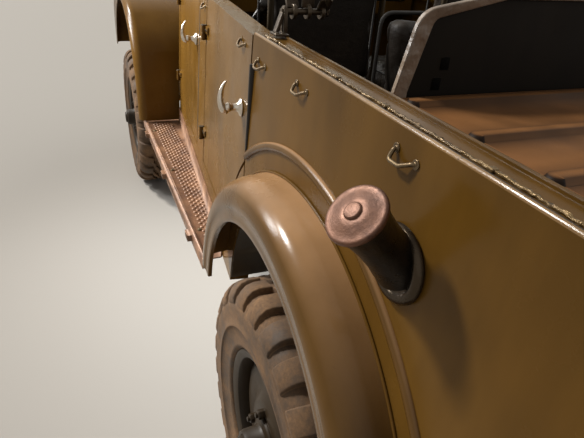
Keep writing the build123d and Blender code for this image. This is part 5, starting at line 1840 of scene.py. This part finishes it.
@dataclass
class Lamps:
    """Headlamps, parking lamps and tail lamps."""

    head: tuple[float, float] = (0.308, 0.905)
    back_x: float = 1.7283
    tail: tuple[float, float, float] = (-1.8953, 0.56, 1.0)
    park: tuple[float, float, float] = (1.8023, 0.32, 0.76)

    def head_lamp(self, side: Side) -> None:
        """Bowl, chrome rim, reflector, bulb and fluted lens.

        Args:
            side: the side that it is for.
        """
        y, z = side.value * self.head[0], self.head[1]
        at = (self.back_x, y, z)
        bowl = Bench.lathe("bowl", [
            (0.0, 0.0), (0.03, 0.001), (0.06, 0.012), (0.084, 0.036), (0.0935, 0.058), (0.0935, 0.074),
            (0.0905, 0.074), (0.0905, 0.058), (0.08, 0.038), (0.056, 0.016), (0.028, 0.005),
            (0.0, 0.004)], at, AHEAD, 48, closed=False)
        rim = Bench.lathe("rim", [
            (0.09, 0.074), (0.1, 0.0735), (0.1035, 0.078), (0.103, 0.0845), (0.096, 0.092), (0.09, 0.0945),
            (0.0875, 0.0925), (0.0885, 0.086)], at, AHEAD, 56)
        lens = Bench.lathe("lens", [
            (0.0885, 0.088), (0.087, 0.093), (0.07, 0.103), (0.045, 0.111), (0.02, 0.115), (0.0, 0.116),
            (0.0, 0.1125), (0.02, 0.1115), (0.045, 0.1075), (0.069, 0.0995),
            (0.085, 0.09)], at, AHEAD, 48, closed=False)
        bulb = Bench.lathe("bulb", [
            (0.0, 0.01), (0.01, 0.012), (0.01, 0.03), (0.014, 0.04), (0.012, 0.052),
            (0.0, 0.058)], at, AHEAD, 20, closed=False)
        screw = Bench.rod("screw", (self.back_x + 0.08, y, z - 0.1035), (self.back_x + 0.092, y, z - 0.0985),
                          0.006, 12)
        Bench.join(f"{side.word}_lamp_rim", [rim, screw])
        for piece, finish, slot in ((bowl, CHROME, "chrome"), (rim, CHROME, "chrome"),
                                    (lens, LENS, "lamp_glass"), (bulb, CLEAR, "lamp_glass")):
            piece.name = f"{side.word}_head_{piece.name.split('.')[0].replace(side.word + '_', '')}"
            stands = ("lamps",) if side is Side.LEFT and piece is bowl else ()
            Yard.hand_over(Bench.smooth(piece, 40), ROOT, slot, finish, stands)

    def small_lamps(self, side: Side) -> None:
        """Tail lamp on the rear wall and a parking lamp on the nose panel.

        Args:
            side: the side that they are for.
        """
        rear, front = ((x, side.value * y, z) for x, y, z in (self.tail, self.park))
        can = Bench.lathe("tail_can", [
            (0.0, 0.0003), (0.036, 0.0003), (0.0375, 0.003), (0.0375, 0.014), (0.0345, 0.017),
            (0.0, 0.017)], rear, BACK, 36, closed=False)
        lens = Bench.lathe("tail_lens", [
            (0.0335, 0.0165), (0.0325, 0.0195), (0.022, 0.0228), (0.0, 0.0236),
            (0.0, 0.0165)], rear, BACK, 36, closed=False)
        park = Bench.lathe("park_can", [
            (0.0, 0.0003), (0.026, 0.0003), (0.0275, 0.003), (0.025, 0.0075),
            (0.0, 0.0075)], front, AHEAD, 32, closed=False)
        glow = Bench.lathe("park_lens", [
            (0.0235, 0.007), (0.02, 0.0092), (0.01, 0.01), (0.0, 0.0102),
            (0.0, 0.007)], front, AHEAD, 32, closed=False)
        for piece, finish, slot in ((can, OLIVE_DULL_AND_SHADED, "body_paint"), (lens, RED_LENS, "lamp_glass"),
                                    (park, CHROME, "chrome"), (glow, AMBER_LENS, "lamp_glass")):
            piece.name = f"{side.word}_{piece.name.split('.')[0]}"
            Yard.hand_over(Bench.smooth(piece, 40), ROOT, slot, finish)

    def build(self) -> None:
        """All lamps of both sides."""
        for side in Side:
            self.head_lamp(side)
            self.small_lamps(side)


@dataclass
class Windshield:
    """Rubber round the panes and two wipers."""

    hinge: tuple[float, float] = (0.7, 1.25)
    rake: float = 12.0
    half: float = 0.56
    frame: float = 0.032
    height: float = 0.47

    def spot(self, y: float, up: float, out: float = 0.0) -> Vector:
        """A place on the windshield's middle plane.

        Args:
            y: across the car.
            up: along the frame.
            out: ahead of the plane.

        Returns:
            The point in the car's frame.
        """
        a = math.radians(self.rake)
        return Vector((self.hinge[0] - up * math.sin(a) + out * math.cos(a), y,
                       self.hinge[1] + up * math.cos(a) + out * math.sin(a)))

    def build(self) -> None:
        """Seals and wipers, riding on the windshield."""
        for side in Side:
            s = side.value
            b, t, h = self.half - self.frame, self.half - 0.022 - self.frame, self.height - self.frame
            for face, word in ((0.0045, "outer"), (-0.0045, "inner")):
                foot = self.spot(s * 0.018, 0.058, face)
                corners = [foot, self.spot(s * (b - 0.002), 0.058, face),
                           self.spot(s * (t - 0.002), h - 0.002, face),
                           self.spot(s * 0.018, h - 0.002, face), foot]
                seal = Bench.wire(f"{side.word}_pane_seal_{word}", Bench.rounded(corners, 0.018), 0.0038)
                Yard.hand_over(seal, "windshield_group", "black_plastic", SEAL_RUBBER)
            pivot = self.spot(s * 0.26, h + 0.012, 0.013)
            arm_end = self.spot(s * 0.34, h - 0.2, 0.0125)
            boss = Bench.rod("boss", self.spot(s * 0.26, h + 0.012, 0.0), pivot, 0.009, 20)
            arm = Bench.wire("arm", [pivot, pivot.lerp(arm_end, 0.5) + Vector((0.001, 0, 0)), arm_end],
                             0.0026)
            blade = Bench.wire("blade", [self.spot(s * 0.305, h - 0.075, 0.0095), arm_end,
                                         self.spot(s * 0.372, h - 0.322, 0.0095)], 0.0032)
            wiper = Bench.smooth(Bench.join(f"{side.word}_wiper", [boss, arm, blade]), 45)
            Yard.hand_over(wiper, "windshield_group", "black_plastic", CAST_BLACK)


@dataclass
class LoadBay:
    """The lip that carries the load bay's floor on to the tail, clear of the tailgate."""

    floor_z: float = 0.738
    half: tuple[tuple[float, float], ...] = (
        (-1.832, 0.715), (-1.865, 0.695), (-1.885, 0.66), (-1.889, 0.62), (-1.889, 0.456), (-1.864, 0.45))

    def build(self) -> None:
        """One flat plate, level with the floor."""
        left = [(x, y, self.floor_z) for x, y in self.half]
        right = [(x, -y, z) for x, y, z in reversed(left)]
        Yard.hand_over(Bench.plate("bay_floor_lip", left + right), ROOT, "floor_paint", FLOOR_PAINT)


@dataclass
class Nose:
    """Hood catches, tow hooks and the plates between the hood's skirts and the fenders."""

    crown: tuple[tuple[float, float], ...] = (
        (0.816, 0.73), (0.85, 0.797), (0.9, 0.862), (0.95, 0.91), (1.0, 0.947), (1.05, 0.976), (1.1, 0.997),
        (1.2, 1.023), (1.3, 1.028), (1.4, 1.022), (1.5, 1.011), (1.6, 1.001), (1.65, 0.99), (1.7, 0.968),
        (1.765, 0.915))
    rear_y: float = 0.531
    draw: float = 0.1234

    def apron(self) -> Piece:
        """The left plate, which stands on the fender's crown just inside the hood's skirt.

        Returns:
            The plate.
        """
        ends = [(1.765, 1.0525), (0.816, 1.0775)]
        points = [(x, self.rear_y - (x - 0.85) * self.draw, z) for x, z in (*self.crown, *ends)]
        return Bench.plate("left_hood_apron", points)

    def build(self) -> None:
        """Small fittings at the front."""
        for side in Side:
            s = side.value
            inner, outer = sorted((s * 0.4365, s * 0.4455))
            base = Bench.block("base", (1.64, inner, 1.038), (1.672, outer, 1.062), 0.002)
            bends = [(1.648, s * 0.446, 1.058), (1.648, s * 0.452, 1.094), (1.664, s * 0.452, 1.094),
                     (1.664, s * 0.446, 1.058)]
            loop = Bench.wire("loop", Bench.rounded(bends, 0.006), 0.0026)
            catch = Bench.smooth(Bench.join(f"{side.word}_hood_catch", [base, loop]), 45)
            Yard.hand_over(catch, ROOT, "chrome", ZINC)
            bends = [(x, s * 0.385, z)
                     for x, z in ((1.905, 0.643), (1.862, 0.643), (1.862, 0.69), (1.905, 0.69))]
            hook = Bench.wire("hook", Bench.rounded(bends, 0.018), 0.0085)
            Yard.hand_over(Bench.join(f"{side.word}_tow_hook", [hook]), ROOT, "dark_steel", CAST_BLACK)
        apron = self.apron()
        for piece in (Bench.mirrored(apron, "right_hood_apron"), apron):
            Yard.hand_over(piece, ROOT, "body_paint", OLIVE_DULL_AND_SHADED)


@dataclass
class Dashboard:
    """Round speed dial and four small gauges in a cluster ahead of the driver."""

    face_x: float = 0.637
    middle: tuple[float, float] = (0.33, 1.15)

    def gauge(self, name: str, y: float, z: float, radius: float) -> None:
        """One gauge: bezel, black face, pale ticks and needle.

        Args:
            name: start of its pieces' names.
            y, z: its middle.
            radius: the bezel's radius.
        """
        at = (self.face_x - 0.0004, y, z)
        bezel = Bench.lathe("bezel", [
            (radius * 0.88, 0.0), (radius, 0.0), (radius, 0.004), (radius * 0.94, 0.0062),
            (radius * 0.88, 0.0046)], at, BACK, 36)
        face = Bench.lathe("face", [
            (radius * 0.9, 0.0), (radius * 0.9, 0.0012), (0.0, 0.0012), (0.0, 0.0)], at, BACK, 36)
        tick = Bench.block("tick", (self.face_x - 0.0024, y - 0.0006, z + radius * 0.66),
                           (self.face_x - 0.0014, y + 0.0006, z + radius * 0.82))
        ticks = Bench.ring_of(tick, 12, AHEAD, (self.face_x, y, z))
        x = self.face_x - 0.003
        needle = Bench.rod("needle", (x, y, z), (x, y + radius * 0.45, z - radius * 0.5), 0.0009, 8,
                           tip=0.0003)
        for piece, finish, slot in ((bezel, CHROME, "chrome"), (face, SEAL_RUBBER, "black_plastic")):
            piece.name = f"{name}_{piece.name.split('.')[0]}"
            Yard.hand_over(Bench.smooth(piece, 40), ROOT, slot, finish)
        marks = Bench.join(f"{name}_marks", [ticks, needle])
        Yard.hand_over(marks, ROOT, "lamp_glass", PRIMER)

    def build(self) -> None:
        """The cluster and a grab bar for the passenger."""
        y, z = self.middle
        self.gauge("speed_dial", y, z, 0.03)
        corners = ((-0.031, 0.028), (0.031, 0.028), (-0.031, -0.028), (0.031, -0.028))
        for number, (dy, dz) in enumerate(corners):
            self.gauge(f"small_gauge_{number}", y + dy, z + dz, 0.0145)
        bends = [(x, y, 1.11) for x, y in ((0.64, -0.17), (0.6, -0.17), (0.6, -0.47), (0.64, -0.47))]
        bar = Bench.wire("grab_bar", Bench.rounded(bends, 0.025), 0.008)
        Yard.hand_over(bar, ROOT, "dark_steel", CAST_BLACK)


# Folding top and seat back

@dataclass
class FoldingTop:
    """Three steel hoops with flattened eyes, on forked stands over the rails."""

    pin: tuple[float, float] = (-0.69, 1.232)
    cheek_y: float = 0.652
    foot_z: float = 1.1888
    bows: tuple[tuple[str, float, float, float], ...] = (
        ("front", 0.86, 0.636, 128.0),
        ("main", 0.7, 0.605, 92.0),
        ("rear", 0.56, 0.574, 50.0),
    )

    def bow(self, name: str, radius: float, half: float, angle: float) -> None:
        """One hoop, its ends pressed flat round the pin.

        Args:
            name: front, main or rear.
            radius: reach from the pin to the hoop's outside.
            half: half width at the legs.
            angle: lift from rearward, in degrees.
        """
        a = math.radians(angle)
        along = Vector((-math.cos(a), 0, math.sin(a)))
        pin = Vector((self.pin[0], 0, self.pin[1]))
        run = radius - 0.012

        def at(reach: float, y: float) -> Vector:
            """A place in the hoop's plane."""
            return pin + along * reach + Vector((0, y, 0))

        corners = [at(0.03, half), at(0.07, half), at(run, half), at(run, -half), at(0.07, -half),
                   at(0.03, -half)]
        hoop = Bench.wire("hoop", Bench.rounded(corners, 0.09, 10), 0.0105)
        for vertex in hoop.data.vertices:
            reach = (vertex.co - pin).dot(along)
            flat = min(1.0, max(0.0, (0.085 - reach) / 0.045))
            if flat > 0:
                middle = half if vertex.co.y > 0 else -half
                side = vertex.co.y - middle
                vertex.co.y = middle + side * (1 - 0.62 * flat)
                across = vertex.co - at(reach, vertex.co.y)
                vertex.co += across * 0.35 * flat
        parts = [hoop]
        for s in (1, -1):
            eye = Bench.lathe("eye", [
                (0.0066, -0.004), (0.014, -0.004), (0.015, -0.003), (0.015, 0.003), (0.014, 0.004),
                (0.0066, 0.004)], at(0.0, s * half), ACROSS, 32)
            neck = Bench.rod("neck", at(0.01, s * half), at(0.04, s * half), 0.004, 12)
            blade = Bench.block("blade", (-0.013, -0.004, 0.008), (0.013, 0.004, 0.036), 0.0015)
            blade.matrix_world = Matrix.Translation(at(0.0, s * half)) @ Bench.turn_to(along)
            Bench.settle(blade)
            parts += [eye, neck, blade]
        piece = Bench.smooth(Bench.join(f"top_bow_{name}_made", parts), 40)
        Yard.hand_over(piece, f"top_{name}_group", "bow_paint", BOW_STEEL, (f"top_bow_{name}",))

    def stand(self, side: Side) -> Piece:
        """A forked plate with a riveted foot and the pivot pin.

        Args:
            side: the side that it is for.

        Returns:
            The stand.
        """
        s, (x, z) = side.value, self.pin
        y = s * (self.cheek_y + 0.004)
        foot_z = self.foot_z
        outline = [(x - 0.016, foot_z), (x - 0.006, foot_z), (x - 0.0045, foot_z + 0.022),
                   (x - 0.002, foot_z + 0.03), (x + 0.0005, foot_z + 0.022), (x + 0.001, foot_z),
                   (x + 0.0098, foot_z), (x + 0.0095, z + 0.004), (x + 0.007, z + 0.009), (x, z + 0.012),
                   (x - 0.0075, z + 0.009), (x - 0.0115, z + 0.001)]
        plate = Bench.prism("plate", [(px, y - 0.0036, pz) for px, pz in outline], (0, 0.0072, 0))
        Bench.bevel(plate, 0.001, 2)
        leg = Bench.block("leg", (-0.0085, -0.0035, 0.0), (0.0085, 0.0035, 1.0), 0.0012)
        low, high = Vector((x - 0.003, s * 0.674, foot_z + 0.004)), Vector((x - 0.003, s * 0.661, z - 0.002))
        stretch = Matrix.Diagonal((1, 1, (high - low).length, 1))
        leg.matrix_world = Matrix.Translation(low) @ Bench.turn_to(high - low) @ stretch
        Bench.settle(leg)
        inner, outer = sorted((s * (self.cheek_y + 0.001), s * 0.683))
        foot = Bench.block("foot", (x - 0.028, inner, foot_z - 0.0003), (x + 0.0095, outer, foot_z + 0.004),
                           0.0012)
        dome = [(0.0048, 0.0), (0.0042, 0.002), (0.0, 0.003)]
        rivets = [Bench.lathe("rivet", dome, (x - 0.021, s * yy, foot_z + 0.004), UP, 14, closed=False)
                  for yy in (0.664, 0.677)]
        pin = Bench.rod("pin", (x, s * 0.558, z), (x, s * (self.cheek_y + 0.0115), z), 0.0064, 24)
        head = Bench.rod("head", (x, s * 0.5595, z), (x, s * 0.5645, z), 0.0105, 6)
        return Bench.smooth(Bench.join(f"{side.word}_top_stand", [plate, leg, foot, *rivets, pin, head]), 40)

    def build(self) -> None:
        """Hoops and stands."""
        for row in self.bows:
            self.bow(*row)
        for side in Side:
            stands_for = ("top_brackets",) if side is Side.LEFT else ()
            Yard.hand_over(self.stand(side), ROOT, "body_paint", BOW_STEEL, stands_for)


@dataclass
class SeatBack:
    """The pressed panel behind the rear bench: a worn bare flange round a field painted near black as shade.
    """

    x: float = -0.897
    front_x: float = -0.893
    foot_z: float = 1.05
    flange: float = 0.03
    clips: tuple[tuple[float, float], ...] = ((0.398, 1.171), (0.41, 1.132))

    def arch(self, inset: float) -> list[tuple[float, float]]:
        """Outline of the arch at an inset, from left foot to right foot.

        Args:
            inset: how far in from the edge.

        Returns:
            The (Y, Z) points of the outline.
        """
        foot, shoulder, crown = 0.508 - inset, 0.474 - inset, 0.3 - inset / 2
        rise = [(foot, self.foot_z), (foot, 1.12), (shoulder, 1.268 - inset * 0.5),
                (crown, 1.3 - inset * 0.35)]
        path = [Vector((0, y, z)) for y, z in rise] + [Vector((0, -y, z)) for y, z in reversed(rise)]
        return [(p.y, p.z) for p in Bench.rounded(path, max(0.02, 0.052 - inset), 6)]

    def build(self) -> None:
        """Flange rolled from a U section, the field, and near-black blocks of painted shade at the strap
        slots.
        """
        outer, inner = self.arch(0.0004), self.arch(self.flange)
        rows = [(self.front_x - 0.0004, outer), (self.x - 0.0062, outer),
                (self.x - 0.008, self.arch(0.0025)), (self.x - 0.008, self.arch(self.flange - 0.004)),
                (self.x - 0.0065, inner), (self.x + 0.0005, inner)]
        parts = []
        for (xa, a), (xb, b) in zip(rows, rows[1:]):
            line = Bench.trace("band", [(xa, y, z) for y, z in a])
            other = Bench.trace("band", [(xb, y, z) for y, z in b])
            band = Bench.join("band", [line, other])
            Bench.edit(band, "EDGE")
            bpy.ops.mesh.bridge_edge_loops()
            Bench.done()
            parts.append(band)
        flange = Bench.join("seat_back_flange", parts)
        Bench.edit(flange)
        Bench.weld(0.0002)
        Bench.done()
        middle = min(flange.data.polygons, key=lambda face: face.center.x)
        if middle.normal.x > 0:
            Bench.flip(flange)
        Yard.hand_over(Bench.smooth(flange, 35), ROOT, "body_paint", PRIMER)
        outline = [(self.x, y, z) for y, z in self.arch(0.002)]
        field = Bench.prism("seat_back_field", outline, (self.front_x - self.x, 0, 0))
        Yard.hand_over(Bench.smooth(field, 35), ROOT, "body_paint", BACK_PAINTED_SHADE, ("seat_back_panel",))
        # Painted shade: near-black blocks stand where the strap slots open in the panel.
        clips = [Bench.block("clip", (self.x - 0.0016, s * y - 0.01, z - 0.012),
                             (self.x + 0.0006, s * y + 0.01, z + 0.012), 0.0012)
                 for y, z in self.clips for s in (1, -1)]
        clips = Bench.smooth(Bench.join("seat_back_clips", clips), 35)
        Yard.hand_over(clips, ROOT, "body_paint", SLOT_PAINTED_SHADE)


# Studio

@dataclass
class Studio:
    """Pale floor, soft lights and the camera over the left rear quarter."""

    eye: tuple[float, float, float] = (-1.732, 1.0594, 1.38)
    yaw: float = 23.56
    pitch: float = 29.31
    roll: float = 4.28
    focal_px: float = 517.0
    width_px: float = 584.0

    def camera(self) -> None:
        """Place the camera at the photograph's viewing angle."""
        yaw, pitch, roll = (math.radians(a) for a in (self.yaw, self.pitch, self.roll))
        ahead = Vector((math.cos(pitch) * math.cos(yaw), -math.cos(pitch) * math.sin(yaw), -math.sin(pitch)))
        right = Vector((-math.sin(yaw), -math.cos(yaw), 0))
        up = right.cross(ahead)
        cos, sin = math.cos(roll), math.sin(roll)
        right, up = cos * right + sin * up, cos * up - sin * right
        data = bpy.data.cameras.new("camera")
        data.sensor_width = 36.0
        data.lens = 36.0 * self.focal_px / self.width_px
        data.clip_start = 0.02
        camera = bpy.data.objects.new("camera", data)
        bpy.context.scene.collection.objects.link(camera)
        turn = Matrix((right, up, -ahead)).transposed()
        camera.matrix_world = Matrix.Translation(Vector(self.eye)) @ turn.to_4x4()
        bpy.context.scene.camera = camera

    def soft_light(self, name: str, place: Point, aim: Point, size: float, watts: float,
                   spread: float) -> None:
        """A square area light aimed at a point.

        Args:
            name: the light's name.
            place: where it hangs.
            aim: where it points.
            size: its side in metres.
            watts: its power.
            spread: width of its beam in degrees.
        """
        data = bpy.data.lights.new(name, "AREA")
        data.shape = "SQUARE"
        data.size = size
        data.energy = watts
        data.spread = math.radians(spread)
        lamp = bpy.data.objects.new(name, data)
        lamp.visible_camera = False
        bpy.context.scene.collection.objects.link(lamp)
        turn = (Vector(aim) - Vector(place)).to_track_quat("-Z", "Y").to_matrix().to_4x4()
        lamp.matrix_world = Matrix.Translation(Vector(place)) @ turn

    def sun(self, name: str, place: Point, angle: float, strength: float) -> None:
        """A soft distant light that shines from a place towards the origin.

        Args:
            name: the light's name.
            place: direction it comes from.
            angle: its width in degrees.
            strength: light on a face turned to it.
        """
        data = bpy.data.lights.new(name, "SUN")
        data.angle = math.radians(angle)
        data.energy = strength
        data.color = (1.0, 0.96, 0.9)
        lamp = bpy.data.objects.new(name, data)
        bpy.context.scene.collection.objects.link(lamp)
        way = -Vector(place)
        lamp.matrix_world = way.to_track_quat("-Z", "Y").to_matrix().to_4x4()

    def floor(self) -> None:
        """A large pale floor."""
        Bench.clear()
        bpy.ops.mesh.primitive_plane_add(size=60, location=(0, 0, 0))
        plane = bpy.context.object
        plane.name = "studio_floor"
        web = Web("pale_floor")
        plane.data.materials.append(web.finish((0.5, 0.475, 0.435, 1.0), 0.85))

    def world(self) -> None:
        """Even pale surroundings."""
        world = bpy.data.worlds.new("studio_world")
        world.use_nodes = True
        tree = world.node_tree
        ground = tree.nodes["Background"]
        ground.inputs["Color"].default_value = (0.86, 0.87, 0.9, 1.0)
        ground.inputs["Strength"].default_value = 0.19
        seen = tree.nodes.new("ShaderNodeBackground")
        seen.inputs["Color"].default_value = (0.5, 0.485, 0.46, 1.0)
        path = tree.nodes.new("ShaderNodeLightPath")
        shown = path.outputs["Is Camera Ray"]
        for ray in ("Is Glossy Ray", "Is Transmission Ray"):
            either = tree.nodes.new("ShaderNodeMath")
            either.operation = "MAXIMUM"
            tree.links.new(shown, either.inputs[0])
            tree.links.new(path.outputs[ray], either.inputs[1])
            shown = either.outputs[0]
        mix = tree.nodes.new("ShaderNodeMixShader")
        tree.links.new(shown, mix.inputs[0])
        tree.links.new(ground.outputs[0], mix.inputs[1])
        tree.links.new(seen.outputs[0], mix.inputs[2])
        tree.links.new(mix.outputs[0], tree.nodes["World Output"].inputs["Surface"])
        bpy.context.scene.world = world
        bpy.context.scene.view_settings.view_transform = "Standard"

    def build(self) -> None:
        """Set up the whole studio."""
        self.camera()
        self.floor()
        self.world()
        self.sun("key", (0.58, 0.47, 0.67), 7.0, 2.9)
        self.sun("left_fill", (-3.4, 3.8, 2.6), 70.0, 0.16)
        self.sun("right_fill", (-1.0, -4.6, 2.8), 70.0, 0.6)
        self.sun("front_fill", (4.4, -0.6, 2.6), 60.0, 0.45)
        self.soft_light("door_light", (1.7, 2.5, 2.2), (0.3, 0.7, 0.9), 1.2, 17.0, 44.0)


def main() -> None:
    """Build every sub-assembly in order."""
    logging.basicConfig(level=logging.INFO, format="%(message)s")
    parts = (Panelwork(), Wheels(), RearFenders(), Rails(), Hooks(), Filler(), DoorFittings(), StepTread(),
             Seats(), Lamps(), Windshield(), LoadBay(), Nose(), Dashboard(), FoldingTop(), SeatBack(),
             Studio())
    for part in parts:
        before = len(Yard.made)
        part.build()
        for name in Yard.made[before:]:
            log.info("%s: %s", type(part).__name__, name)


if __name__ == "__main__":
    main()
